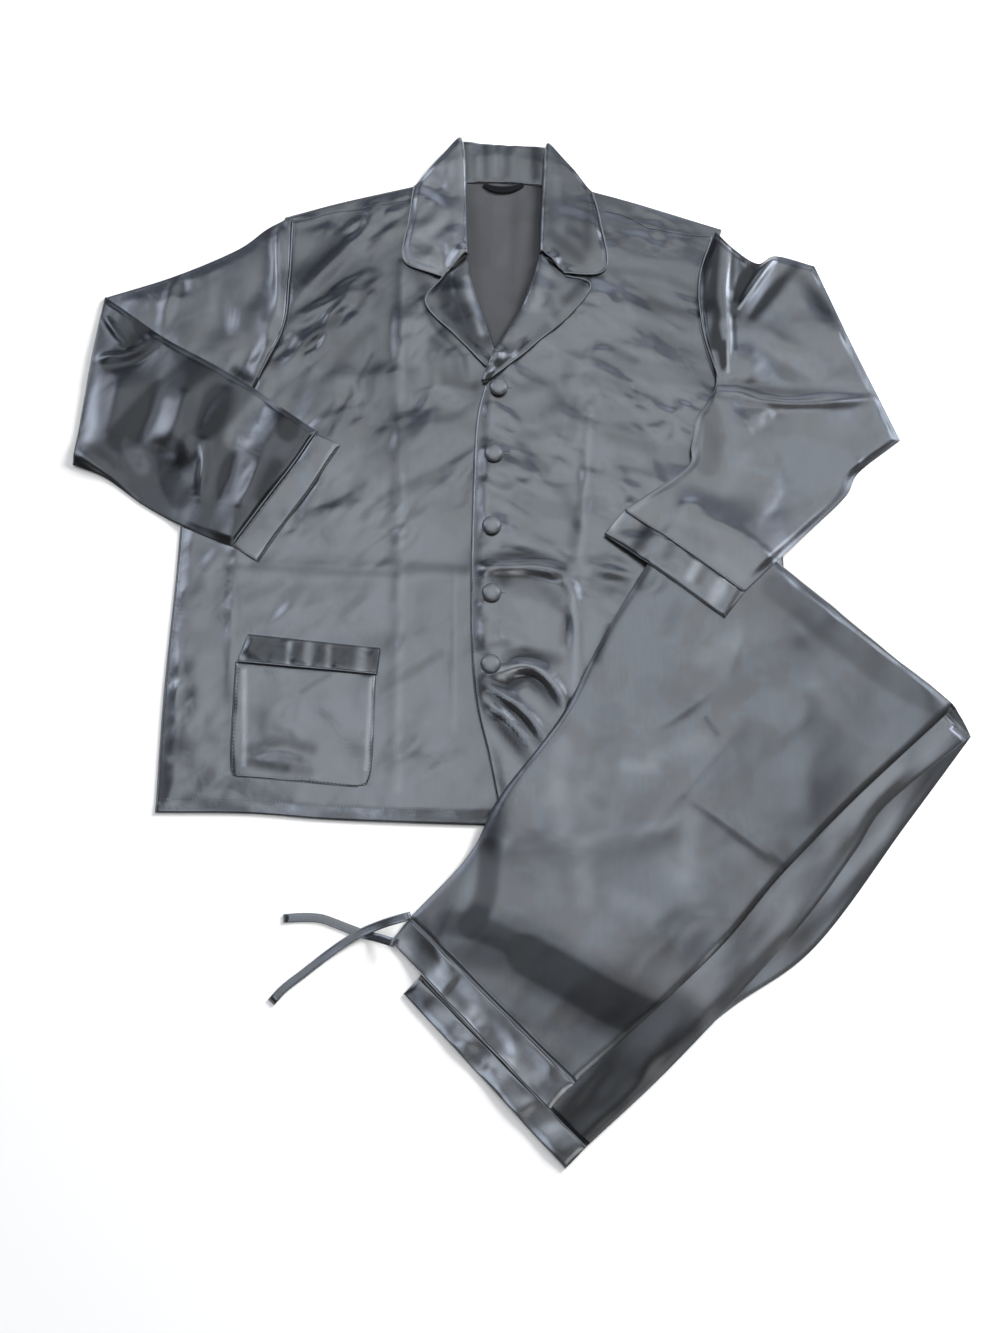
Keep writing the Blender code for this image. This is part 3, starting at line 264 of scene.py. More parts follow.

# ---- Folds, in millimetres: a soft ridge, or a trough where the height is less than 0. Troughs are also painted darker, as painted shade.
Crease = namedtuple("Crease", "height width points")
CREASES = named_rows(Crease, back=(
    (0.8, 9, (-5, 719), (-2, 639)), (-0.5, 8, (26, 719), (24, 626)), (0.7, 9, (51, 719), (43, 639)),
), front_right=(
    (1.6, 10, (-291, 263), (-184, 259), (-10, 258)),
    (0.9, 8, (-90, 639), (-89, 476), (-78, 270), (-74, 44)), (-0.9, 9, (-100, 624), (-98, 476)),
    (1.2, 8, (-253, 388), (-243, 227)), (2.4, 9, (-137, 653), (-174, 607), (-210, 560)),
    (-1.6, 9, (-123, 642), (-161, 596), (-194, 548)), (2, 8, (-143, 590), (-175, 565), (-211, 538)),
    (2.2, 8, (-150, 569), (-186, 525), (-222, 476)), (1.5, 6, (-130, 470), (-145, 438), (-159, 405)),
    (1.6, 12, (-39, 464), (-64, 405), (-126, 370)), (-1.2, 12, (-40, 216), (-100, 184), (-179, 174)),
    (1.2, 14, (-48, 123), (-67, 63), (-94, 15)), (0.8, 12, (-298, 227), (-277, 143), (-280, 63)),
    (-1, 10, (-267, 15), (-239, 34), (-209, 13)), (0.7, 3, (-303, 259), (-296, 44)),
    (0.9, 3, (-25, 254), (-24, 93)), (-0.7, 6, (-298, 115), (-284, 131)),
    (-0.8, 7, (-301, 61), (-291, 81)), (-1, 7, (-300, 222), (-284, 242)),
    (0.6, 3, (-251, 263), (-246, 123)),
), front_left=(
    (1.4, 9, (-6, 258), (41, 259), (122, 256), (163, 254)),
    (3.4, 7, (-8, 256), (26, 260), (56, 260), (84, 250), (93, 227)),
    (-2.2, 7, (-6, 268), (31, 274), (61, 272), (82, 264)), (-1.4, 7, (21, 237), (56, 235), (76, 214)),
    (1.6, 7, (117, 440), (111, 359), (102, 270)), (1.7, 7, (94, 270), (95, 205), (97, 133)),
    (-1.3, 6, (87, 211), (85, 174)),
    (3.2, 6, (-1, 147), (22, 151), (43, 156), (60, 151), (78, 133), (85, 108)),
    (-2.4, 7, (25, 163), (50, 169), (78, 162)),
    (-2.6, 6, (5, 142), (29, 135), (47, 145), (64, 131), (74, 115)),
    (3, 5, (1, 140), (25, 126), (48, 107), (65, 83)),
    (-2.6, 5, (3, 132), (22, 117), (43, 97), (57, 79)), (2.4, 5, (5, 121), (29, 103), (50, 78)),
    (-2.6, 7, (13, 105), (29, 87), (47, 65)), (1.6, 5, (120, 510), (136, 509), (146, 504)),
    (1.2, 12, (133, 653), (177, 624), (243, 616)), (-1.1, 12, (142, 588), (186, 575), (239, 538)),
    (1.5, 12, (86, 538), (130, 550), (173, 519)), (-1.2, 12, (42, 429), (85, 452), (127, 417)),
    (1.4, 6, (112, 257), (138, 256), (163, 248)), (-1.3, 6, (126, 268), (141, 263), (155, 257)),
    (-1.3, 7, (120, 235), (137, 240), (158, 229)), (1.4, 8, (169, 405), (187, 336), (165, 292)),
    (-1, 4, (-6, 208), (10, 203)), (1, 4, (-6, 218), (12, 222)), (-1, 4, (-5, 162), (9, 169)),
    (1, 4, (-5, 123), (7, 133)), (-1, 4, (-4, 285), (10, 288)), (1, 4, (-2, 303), (12, 301)),
    (1, 4, (-3, 388), (12, 391)), (-1, 4, (-2, 409), (10, 405)),
), sleeve_right=(
    (-3.9, 13, (-431, 394), (-427, 476), (-422, 594)), (2.1, 12, (-390, 405), (-388, 452), (-383, 486)),
    (3.6, 13, (-310, 462), (-318, 426), (-330, 391)), (-2.4, 12, (-343, 476), (-352, 431), (-365, 388)),
    (4.8, 18, (-201, 440), (-213, 410), (-230, 380)), (-3.3, 16, (-272, 470), (-284, 435), (-292, 398)),
    (2.4, 5, (-418, 498), (-380, 503), (-344, 525)), (-1.5, 6, (-407, 486), (-375, 493), (-349, 510)),
    (-2.4, 14, (-378, 531), (-362, 544), (-351, 538)), (1.8, 4, (-413, 553), (-381, 510)),
    (2.7, 6, (-290, 399), (-288, 370), (-290, 336)), (3, 9, (-222, 391), (-233, 359), (-247, 319)),
    (-2.7, 9, (-256, 394), (-264, 359), (-270, 330)), (-2.4, 10, (-317, 388), (-323, 359), (-323, 336)),
    (2.4, 5, (-422, 387), (-388, 359), (-358, 336)),
), upper_arm=(
    (1.6, 6, (-338, 606), (-343, 575), (-347, 535)), (-1.6, 7, (-330, 601), (-332, 575)),
    (2.6, 5, (-229, 671), (-225, 614), (-220, 553)), (1.8, 7, (-222, 531), (-237, 498), (-249, 486)),
    (-0.7, 10, (-285, 614), (-287, 563), (-273, 519)), (0.6, 12, (-270, 639), (-261, 588), (-266, 538)),
), sleeve_left=(
    (1.1, 3, (280, 656), (268, 588), (269, 538), (265, 479)),
    (-0.6, 9, (261, 655), (256, 575), (261, 495)), (2.6, 4, (330, 633), (305, 597), (281, 561)),
    (-2.4, 8, (311, 639), (289, 596), (276, 563)), (-2.4, 8, (341, 616), (313, 575), (292, 548)),
    (1.2, 9, (379, 619), (404, 550), (425, 482), (442, 417)),
    (-2.4, 10, (356, 599), (371, 575), (385, 545)),
    (3, 6, (247, 456), (272, 456), (299, 448), (357, 445), (422, 452)),
    (-2.4, 7, (251, 467), (284, 467), (332, 460), (396, 462)),
    (-1, 12, (233, 429), (245, 405), (252, 373)), (1.8, 10, (281, 417), (298, 435), (313, 429)),
    (0.8, 6, (389, 380), (400, 370), (410, 357)), (-0.8, 12, (305, 394), (318, 348), (299, 303)),
    (1, 12, (305, 538), (336, 513), (377, 486)), (-1.6, 10, (292, 519), (323, 491), (364, 467)),
), pocket=(
    (1.2, 6, (-222, 66), (-193, 73), (-162, 66)), (-1, 5, (-220, 59), (-187, 55)),
), leg_left=(
    (1.1, 5, (195, 29), (226, 7), (258, -18), (286, -40)),
    (-0.7, 14, (269, 237), (303, 211), (350, 174), (396, 133)),
    (1.2, 7, (315, 235), (362, 197), (408, 160), (454, 123)),
    (2, 7, (19, 24), (50, 67), (79, 102), (100, 133)), (0.9, 5, (162, 88), (197, 108), (230, 133)),
    (0.4, 4, (153, -14), (214, 53), (256, 103)),
    (0.7, 6, (268, 227), (256, 184), (240, 143), (218, 123)),
    (-0.5, 12, (181, 184), (191, 153), (186, 118)), (-0.3, 10, (215, 73), (242, 34), (244, -14)),
    (0.5, 8, (377, 44), (346, 13), (305, -25)), (-1.2, 8, (205, 227), (193, 200), (179, 184)),
    (1.5, 6, (162, 227), (178, 237), (186, 254)),
), waistband=(
    (-0.8, 7, (-64, -117), (-54, -110)), (0.8, 5, (-36, -155), (-16, -134)),
    (-0.8, 6, (-27, -160), (-9, -141)), (0.6, 10, (-7, -167), (20, -175), (38, -201)),
    (-0.6, 6, (20, -192), (31, -211)), (0.6, 8, (47, -218), (61, -230)),
), hem_band=(
    (-0.9, 6, (-48, -171), (-34, -161)), (0.7, 6, (-67, -151), (-55, -139)),
    (-0.7, 5, (-27, -192), (-14, -179)), (0.6, 6, (-16, -201), (-1, -187)),
    (-0.7, 5, (-8, -211), (7, -208)), (0.7, 6, (3, -221), (19, -209)), (0.7, 6, (38, -251), (56, -239)),
    (-0.6, 7, (56, -267), (74, -251)),
))

# ---- Painted shade on the satin, or a painted highlight where the share is less than 0
PaintedShade = namedtuple("PaintedShade", "share width points")      # width and points in millimetres
PAINTED_SHADES = named_rows(PaintedShade, leg_left=(
    (0.45, 29, (-7, -102), (34, -112), (80, -136), (121, -160), (155, -175)),
    (0.4, 12, (-26, -89), (16, -100), (62, -125)),
    (0.75, 18, (46, -118), (81, -137), (121, -159), (155, -175)),
    (0.22, 22, (11, -123), (62, -158), (111, -188)), (0.7, 11, (-6, -92), (7, -65), (11, -23)),
    (0.2, 10, (20, 14), (30, 44)), (-0.34, 7, (140, 55), (166, 53)), (-0.21, 9.8, (78, 34), (85, -23)),
    (-0.16, 9.8, (172, -32), (198, -69)), (-0.4, 9, (32, -16), (115, -16), (168, -8), (202, 7)),
    (-0.34, 9.8, (98, -23), (99, -69)), (-0.3, 9.8, (198, -6), (194, -46)),
    (-0.27, 9.8, (131, -69), (159, -80)), (-0.27, 9.8, (44, -23), (63, -43)),
    (-0.3, 9.8, (184, -96), (210, -86)), (-0.22, 9.8, (81, 78), (70, 24)),
    (-0.25, 9.8, (168, 66), (215, 78)), (0.1, 18, (168, 128), (217, 111)),
    (0.12, 22, (264, 83), (270, 24)), (-0.16, 9.8, (243, -25), (265, -51)),
    (-0.21, 9.8, (117, 53), (102, 24)), (0.1, 14, (155, 24), (144, -14)),
    (-0.22, 9.8, (219, 159), (256, 184)), (-0.22, 9.8, (362, 83), (330, 48)),
    (-0.27, 9.8, (329, 133), (355, 95)),
    (0.4, 3, (172, 261), (150, 225), (127, 183), (97, 129), (75, 95), (50, 61), (20, 19)),
    (0.5, 2.5, (314, 257), (383, 203), (471, 119)), (0.5, 5, (125, 193), (116, 160)),
    (0.5, 4, (170, 263), (160, 235)), (0.12, 22, (238, 133), (309, 164)),
    (0.14, 16, (128, 103), (117, 44)), (-0.19, 9, (255, 169), (218, 123)),
    (0.25, 7, (107, 24), (116, 19)), (0.36, 15, (296, 235), (351, 190), (407, 141), (448, 119)),
    (0.45, 2.5, (219, 101), (229, 85)), (0.4, 3, (274, -29), (288, -42)),
), front_right=(
    (0.2, 55, (-254, 646), (-180, 614), (-165, 538)), (0.14, 24, (-229, 370), (-159, 405), (-97, 429)),
    (0.16, 14, (-114, 639), (-105, 538), (-108, 452)), (-0.16, 12, (-72, 538), (-60, 476), (-33, 452)),
    (0.6, 3, (-65, 575), (-51, 541), (-23, 507), (-1, 482)),
    (0.6, 3, (-89, 624), (-68, 610), (-44, 602)), (-0.17, 160, (-184, 270), (-171, 24)),
    (0.5, 9, (-78, 624), (-62, 588), (-45, 556), (-29, 531)), (0.4, 5, (-52, 523), (-28, 501)),
    (0.48, 6, (-74, 485), (-44, 476), (-7, 467)), (0.5, 4, (-91, 624), (-91, 575), (-90, 519)),
    (0.38, 5, (-219, 668), (-212, 575), (-214, 538)), (0.4, 6, (-148, 655), (-175, 624), (-195, 594)),
    (0.3, 5, (-162, 588), (-189, 569), (-207, 548)), (0.4, 7, (-157, 548), (-192, 519), (-222, 495)),
    (0.5, 2.5, (-118, 506), (-138, 458), (-159, 407)), (0.3, 6, (-122, 611), (-130, 569)),
    (0.25, 8, (-64, 417), (-105, 370)), (0.25, 7, (-121, 538), (-153, 501)),
    (0.3, 5, (-185, 486), (-198, 458)), (0.25, 6, (-86, 440), (-82, 370)),
    (0.3, 4, (-255, 261), (-183, 257), (-85, 252)), (0.5, 6, (-81, 257), (-51, 260), (-12, 258)),
    (-0.24, 4, (-89, 626), (-82, 370), (-80, 227), (-77, 34)),
    (0.15, 5, (-94, 452), (-89, 227), (-86, 53)), (-0.35, 6, (-294, 19), (-142, 13), (-8, 5)),
    (0.5, 5, (-262, 19), (-224, 15)), (0.5, 5, (-147, 10), (-121, 8)), (0.45, 5, (-56, 5), (-1, 1)),
    (-0.35, 6, (-309, 270), (-309, 123), (-310, 24)), (-0.1, 3, (-25, 254), (-24, 93)),
    (0.3, 4, (-85, 250), (-87, 227)), (0.35, 7, (-300, 222), (-284, 242)),
    (0.35, 6, (-298, 115), (-284, 131)), (0.4, 8, (-301, 61), (-291, 81)),
    (-0.25, 4, (-303, 259), (-296, 44)), (-0.2, 2.5, (-251, 263), (-248, 184)),
    (0.25, 2.5, (-250, 184), (-242, 53)), (0.25, 8, (-276, 270), (-288, 286)),
    (0.3, 5, (-93, 133), (-39, 169)), (0.3, 6, (-186, 314), (-136, 336)),
    (0.3, 5, (-104, 336), (-42, 370)), (0.25, 6, (-233, 227), (-203, 243)),
    (0.3, 7, (-277, 24), (-209, 13)),
), front_left=(
    (0.09, 50, (178, 653), (229, 550)), (0.2, 12, (129, 501), (182, 486), (236, 476)),
    (0.16, 10, (41, 336), (83, 323), (124, 331)),
    (0.8, 3.5, (119, 606), (116, 585), (100, 564), (70, 533), (37, 502), (11, 476)),
    (0.7, 3, (83, 608), (103, 602), (134, 603)), (0.4, 4, (7, 458), (2, 370), (-2, 270), (-4, 174)),
    (-0.15, 160, (85, 452), (79, 63)), (0.55, 7, (-2, 263), (21, 269), (43, 274), (67, 270), (84, 259)),
    (0.42, 6, (23, 244), (51, 246), (71, 235), (81, 218)), (0.35, 4, (86, 214), (86, 182)),
    (-0.25, 4, (94, 227), (94, 133)), (0.5, 7, (28, 160), (45, 167), (76, 163)),
    (-0.35, 3.5, (1, 147), (22, 151), (43, 156), (60, 151), (78, 131)),
    (0.55, 6, (4, 142), (29, 136), (47, 145), (64, 131), (74, 117)),
    (0.5, 5, (3, 132), (22, 117), (43, 97), (57, 79)), (-0.3, 3.5, (7, 122), (29, 107), (50, 85)),
    (0.55, 7, (13, 105), (29, 87), (47, 65)), (0.8, 4, (114, 151), (123, 176), (130, 197)),
    (0.7, 3, (138, 204), (146, 215)), (0.7, 4, (156, 229), (168, 251)),
    (0.35, 6, (114, 243), (132, 235)), (0.4, 5, (118, 255), (135, 251), (149, 245)),
    (0.35, 5, (113, 268), (128, 272)), (0.35, 3, (-4, 222), (10, 227)), (0.3, 3, (-1, 174), (19, 178)),
    (0.5, 7, (126, 710), (148, 703), (166, 694)), (0.3, 5, (165, 682), (242, 658)),
    (0.25, 6, (138, 611), (187, 606), (238, 585)), (0.32, 6, (186, 573), (259, 541)),
    (0.38, 5, (127, 519), (146, 510), (166, 498)), (0.3, 8, (133, 658), (177, 642)),
    (0.22, 9, (174, 538), (227, 513)), (0.22, 7, (153, 575), (196, 556)),
    (0.3, 8, (26, 458), (69, 470), (85, 452)), (0.25, 7, (42, 405), (84, 417)),
    (0.35, 6, (-3, 370), (42, 380), (68, 370)), (0.25, 6, (101, 452), (95, 405)),
    (-0.18, 4, (117, 440), (111, 359), (102, 270)), (0.2, 10, (117, 476), (171, 458)),
    (0.25, 6, (83, 348), (98, 314), (92, 286)), (0.22, 8, (137, 405), (179, 394)),
), pocket=(
    (-0.8, 2.5, (-232, 151), (-226, 58)), (-0.8, 2.5, (-209, 38), (-129, 34)),
    (-0.6, 2, (-106, 143), (-109, 53)), (-0.2, 400, (-179, 174), (-177, 123)),
    (0.55, 6, (-223, 72), (-194, 81), (-162, 73)), (0.75, 5, (-222, 60), (-187, 54)),
    (0.35, 5, (-183, 55), (-163, 51)), (0.3, 3, (-174, 130), (-160, 140), (-148, 147)),
), leg_right_below=(
    (-0.28, 160, (404, 24), (320, -69)), (0.7, 28, (177, -175), (128, -222), (82, -275)),
    (-0.25, 7, (454, 83), (407, 48)), (-0.15, 9, (303, -51), (333, -23)),
), leg_left_below=(
    (-0.24, 160, (404, 24), (320, -69)), (0.25, 12, (388, -42), (443, 24)),
), waistband=(
    (-0.22, 400, (-68, -116), (58, -233)), (-0.75, 12, (-68, -116), (-7, -171), (58, -233)),
    (1.1, 6, (-25, -148), (-12, -162)), (-0.3, 7, (-58, -123), (-38, -142)),
    (0.35, 5, (10, -192), (15, -184)), (0.6, 7, (61, -233), (74, -246)),
    (-0.5, 3, (64, -243), (74, -229)),
), hem_band=(
    (-0.15, 400, (-67, -151), (73, -284)), (-0.4, 12, (-38, -174), (20, -230), (70, -275)),
    (0.75, 8, (-67, -144), (-49, -162)), (0.45, 4, (-28, -182), (-21, -192)),
    (0.4, 3, (-7, -203), (1, -211)), (0.55, 8, (75, -280), (85, -292)),
    (-0.4, 3, (73, -292), (89, -280)),
), cuff_left=(
    (0.04, 40, (124, 305), (258, 220)), (-0.95, 6, (142, 316), (134, 303)),
    (0.85, 8, (175, 307), (160, 279)), (0.4, 6, (199, 286), (188, 268)),
    (-0.8, 5, (219, 261), (210, 244)), (0.3, 4, (226, 252), (219, 240)),
    (-0.8, 7, (242, 237), (233, 222)), (0.7, 1.8, (260, 233), (247, 212)),
), cuff_right=(
    (0.25, 400, (-203, 429), (-199, 359)), (-0.22, 30, (-169, 388), (-224, 281)),
    (-0.45, 2.5, (-151, 397), (-192, 316), (-227, 270)),
), sleeve_left=(
    (-0.2, 400, (329, 575), (312, 336)), (1.4, 9, (261, 653), (252, 580), (254, 553)),
    (1.3, 5, (253, 558), (257, 520), (261, 493)), (0.9, 3, (260, 486), (264, 519)),
    (0.8, 5, (290, 624), (283, 575)), (0.75, 2.5, (276, 550), (275, 510)),
    (0.9, 3.6, (280, 645), (276, 588)), (1.2, 5, (254, 653), (247, 575), (251, 513)),
    (0.95, 8, (306, 619), (289, 588), (279, 555)), (0.9, 7, (349, 616), (319, 580), (295, 550)),
    (-1.4, 1.7, (278, 653), (270, 575), (265, 482)), (-1.5, 1.8, (330, 630), (305, 594), (282, 561)),
    (0.5, 9, (356, 599), (371, 575), (385, 545)),
    (-0.35, 3, (241, 470), (231, 429), (223, 382), (182, 340), (136, 305)),
    (0.28, 12, (239, 440), (245, 405), (237, 370)), (0.3, 3, (247, 452), (298, 443), (357, 442)),
    (-0.12, 9, (249, 336), (278, 382)), (0.16, 9, (212, 292), (230, 279)),
    (-0.14, 8, (241, 263), (260, 244)),
), collar_right=(
    (-0.42, 400, (-59, 706), (-58, 626)), (0.35, 5, (-29, 771), (-27, 699)),
    (0.3, 7, (-71, 639), (-40, 624)), (0.3, 3, (-82, 674), (-73, 671)),
    (0.3, 3, (-82, 643), (-71, 639)), (0.2, 6, (-48, 746), (-59, 706)),
), lapel_right=(
    (0.22, 400, (-24, 601), (-23, 550)), (0.5, 15, (-40, 590), (-23, 553), (-3, 519)),
    (-1.1, 5, (-16, 597), (-8, 563), (1, 528)), (-0.4, 4, (-45, 599), (-26, 616)),
), collar_stand=(
    (0.18, 400, (21, 760), (32, 760)), (0.45, 4, (-20, 774), (-18, 735)),
    (-0.25, 4, (-5, 774), (-5, 735)), (0.35, 3, (4, 774), (5, 735)), (0.35, 4, (29, 774), (29, 738)),
    (0.65, 6, (61, 774), (62, 735)), (-0.2, 3, (15, 774), (15, 738)),
), pocket_band=(
    (0.8, 14, (-229, 174), (-105, 164)), (-1, 3, (-189, 179), (-189, 155)),
    (-0.75, 5, (-170, 178), (-170, 155)), (-0.7, 3, (-150, 176), (-150, 154)),
    (-0.9, 6, (-116, 173), (-117, 153)), (-0.8, 4, (-235, 184), (-235, 162)),
), collar_left=(
    (0.35, 28, (97, 774), (101, 646)), (-0.3, 6, (84, 726), (88, 659)),
    (0.35, 7, (77, 653), (110, 624)), (0.3, 6, (123, 699), (116, 639)),
), lapel_left=(
    (0.6, 7, (115, 624), (109, 588), (93, 570)), (0.35, 6, (26, 510), (53, 518), (71, 538)),
    (-0.3, 9, (70, 601), (59, 563)), (0.3, 5, (73, 575), (82, 550)),
), back=(
    (0.3, 8, (66, 719), (60, 653), (42, 550)), (0.2, 6, (-14, 719), (-4, 575)),
    (-0.18, 10, (21, 712), (21, 626)), (0.15, 4, (38, 706), (34, 575)),
), sleeve_right=(
    (-0.75, 8, (-422, 553), (-411, 405)), (-0.75, 17, (-227, 446), (-253, 405)),
    (-0.55, 9, (-333, 443), (-334, 412)), (-0.6, 3, (-291, 394), (-291, 339)),
    (-0.35, 6, (-240, 382), (-248, 331)), (-0.3, 10, (-368, 396), (-355, 373)),
    (0.4, 9, (-379, 515), (-359, 535)), (0.4, 17, (-298, 491), (-348, 443), (-376, 403)),
    (0.4, 12, (-200, 436), (-202, 410)), (0.3, 12, (-328, 370), (-312, 336)),
    (0.35, 8, (-213, 373), (-225, 336)), (-0.5, 3, (-422, 387), (-388, 359), (-358, 336)),
    (0.3, 3, (-416, 493), (-380, 499), (-345, 522)),
), upper_arm=(
    (0.45, 6, (-238, 658), (-234, 548)), (-0.9, 7, (-434, 384), (-387, 357), (-343, 327)),
    (0.35, 8, (-255, 538), (-252, 560)), (0.95, 6, (-264, 486), (-248, 474)),
    (0.25, 7, (-325, 619), (-217, 684)), (-0.3, 4, (-228, 674), (-220, 553)),
    (0.25, 3, (-337, 606), (-343, 575), (-348, 538)), (0.3, 6, (-237, 501), (-252, 491)),
))

# ---- Piped edges, and rows of stitches
Piping = namedtuple("Piping", "name size raise_by points")
PIPINGS = table(
    Piping,
    ("piping_collar_right", 1.0, 0.1, WING_RIGHT.free),
    ("piping_collar_left", 1.0, 0.1, WING_LEFT.free),
    ("piping_lapel_right", 1.0, 0.1, LAPEL_RIGHT.free),
    ("piping_lapel_left", 1.0, 0.1, LAPEL_LEFT.free),
    ("piping_pocket", 0.8, 0.0, POCKET_BAND[:2]),
    ("piping_cuff_right", 0.8, 0.0, ((-0.1733, 0.4098), (-0.2120, 0.3475), (-0.2520, 0.2836))),
    ("piping_cuff_left", 0.7, 0.0, ((0.2630, 0.2305), (0.2060, 0.2750), (0.1497, 0.3190))),
    ("piping_waist", 0.7, 0.0, ((-0.0624, -0.0870), (0.0120, -0.1570), (0.0860, -0.2264))),
    ("piping_hem_band", 0.6, 0.0, ((0.060, -0.2465), (0.0950, -0.2796))),
    ("seam_armhole_right", 0.8, 0.2,
     [(hole.right + SLEEVE_LAP * 1.1, hole.y) for hole in ARMHOLES[2:]] + [(-0.212, 0.672)]),
    ("seam_armhole_left", 0.8, 0.2,
     [(hole.left - SLEEVE_LAP * 1.1, hole.y) for hole in ARMHOLES[2:]] + [(0.258, 0.655)]),
    ("seam_shoulder_left", 0.3, 0.2,
     ((0.1180, 0.6950), (0.1600, 0.6840), (0.1890, 0.6660), (0.2280, 0.6580), (0.2560, 0.6560))),
    ("seam_shoulder_right", 0.3, 0.2,
     ((-0.2150, 0.6700), (-0.1700, 0.6870), (-0.1300, 0.6930), (-0.0700, 0.7060))),
)
PIPING_STEP = 0.003       # distance between a piping's points
STITCHES = {
    "stitches_hem": ((-0.306, 0.025), (-0.218, 0.024), (-0.138, 0.018), (-0.03, 0.014)),
    "stitches_pocket": ((-0.238, 0.156), (-0.2375, 0.060), (-0.226, 0.0485), (-0.1185, 0.0385),
                        (-0.1065, 0.0515), (-0.1050, 0.145)),
    "stitches_front_edge": ((0.012, 0.066), (-0.001, 0.123), (-0.006, 0.192), (-0.006, 0.300),
                            (-0.002, 0.420)),
}
THREAD = 0.00028          # half the width of a stitch, and of a buttonhole's thick edge
HOLE_THREAD = 0.0006

# ---- Soft lamps of the studio: where each one is, and its radius in degrees
SoftLamp = namedtuple("SoftLamp", "east north up inner outer colour")
SOFT_LAMPS = table(SoftLamp, (-0.62, 0.50, 0.60, 8, 17, (2.4, 2.5, 2.8)),
                   (0.05, 0.33, 0.94, 20, 32, (1.0, 1.0, 1.0)),
                   (0.70, 0.42, 0.58, 5, 18, (3.0, 3.1, 3.4)),
                   (0.30, -0.56, 0.78, 5, 16, (1.9, 1.85, 1.8)),
                   (-0.30, -0.26, 0.92, 5, 13, (1.5, 1.6, 1.8)),
                   (0.15, 0.90, 0.42, 6, 18, (0.85, 0.92, 1.10)))
WIDE_LAMP = 30            # radius past which a lamp's light is uneven

# ---- Stage
AreaLight = namedtuple("AreaLight", "name power size place aimed")
CAMERA_LENS, CAMERA_SENSOR = 27.0, 36.0     # in millimetres
CAMERA_TILT = math.radians(15)
CAMERA_AIM = (0.020, 0.157)                 # layout point in the middle of the picture
FLOOR_HALF_WIDTH = 6.0
FLOOR_HEIGHT = -0.0002

# ---- Cloth as it was cut, and the share of that width and length which a piece fills
Cut = namedtuple("Cut", "width length share held rests_on")
CUTS = {
    "back": Cut(0.64, 0.80, 0.80, "laid", ["floor"]),
    "front_right": Cut(0.34, 0.80, 0.76, "laid", ["back_cloth"]),
    "front_left": Cut(0.34, 0.80, 0.72, "laid", ["back_cloth", "front_right_cloth"]),
    "collar_stand": Cut(0.20, 0.058, 0.75, "folded", ["back_cloth"]),
    "neck_loop": Cut(0.050, 0.010, 0.85, "laid", ["back_cloth"]),
    "pocket": Cut(0.16, 0.14, 0.78, "laid", ["front_right_cloth"]),
    "pocket_band": Cut(0.142, 0.030, 0.95, "folded", ["pocket_cloth"]),
    "sleeve_right": Cut(0.50, 0.52, 0.74, "folded", ["front_right_cloth"]),
    "cuff_right": Cut(0.31, 0.036, 0.95, "folded", ["front_right_cloth"]),
    "sleeve_left": Cut(0.50, 0.52, 0.58, "folded", ["front_left_cloth", "leg_left_cloth"]),
    "cuff_left": Cut(0.31, 0.036, 0.95, "folded", ["leg_left_cloth"]),
    "leg_right": Cut(0.70, 1.06, 0.78, "folded", ["front_left_cloth"]),
    "leg_left": Cut(0.70, 1.06, 0.78, "folded", ["front_left_cloth"]),
    "waistband": Cut(0.43, 0.030, 0.95, "folded", ["front_left_cloth"]),
    "hem_band": Cut(0.43, 0.030, 0.95, "folded", ["front_left_cloth"]),
}

# ---- Swells: long in the direction of the angle, and lower below the calm height
# The heights of the fronts are shares of the panel's setting.
Swell = namedtuple("Swell", "seed wave stretch angle height crumple fine calm",
                   defaults=(1.0, -9.0))
SWELLS = {
    "front_right": Swell(11, 0.075, 1.8, 0.8, 1.0, 0.0006, 1.2, 0.25),
    "front_left": Swell(21, 0.075, 1.8, -0.5, 1.15, 0.0008, 1.0, 0.20),
    "turned": Swell(31, 0.05, 1, 0, 0.0003, 0, 0.5),
    "collar_stand": Swell(41, 0.028, 3.0, 1.57, 0.0005, 0.0, 0.3),
    "pocket": Swell(51, 0.06, 1, 0.3, 0.0004, 0.0002, 0.5),
    "pocket_band": Swell(55, 0.03, 1, 1.2, 0.0004, 0.0),
    "upper_arm": Swell(61, 0.08, 1.4, 1.1, 0.0008, 0.0003, 0.6),
    "sleeve_right": Swell(64, 0.13, 1.5, 1.2, 0.0010, 0.0002, 0.7),
    "cuff_right": Swell(71, 0.055, 1, 0.4, 0.0002, 0.0, 0.5),
    "cuff_left": Swell(75, 0.055, 1, 0.4, 0.0007, 0.0, 0.5),
    "sleeve_left": Swell(81, 0.11, 1.4, 0.9, 0.0009, 0.0002, 0.45),
    "hem_band": Swell(91, 0.055, 1, 0.9, 0.0004, 0.0, 0.6),
    "waistband": Swell(95, 0.055, 1, 0.9, 0.0004, 0.0, 0.6),
    "leg_left_below": Swell(97, 0.07, 2.2, 0.9, 0.0007, 0.0, 0.5),
    "leg_right_below": Swell(99, 0.07, 2.2, 0.9, 0.0007, 0.0, 0.5),
    "leg_left": Swell(101, 0.12, 1.3, 0.9, 0.0004, 0.0002, 0.5),
}

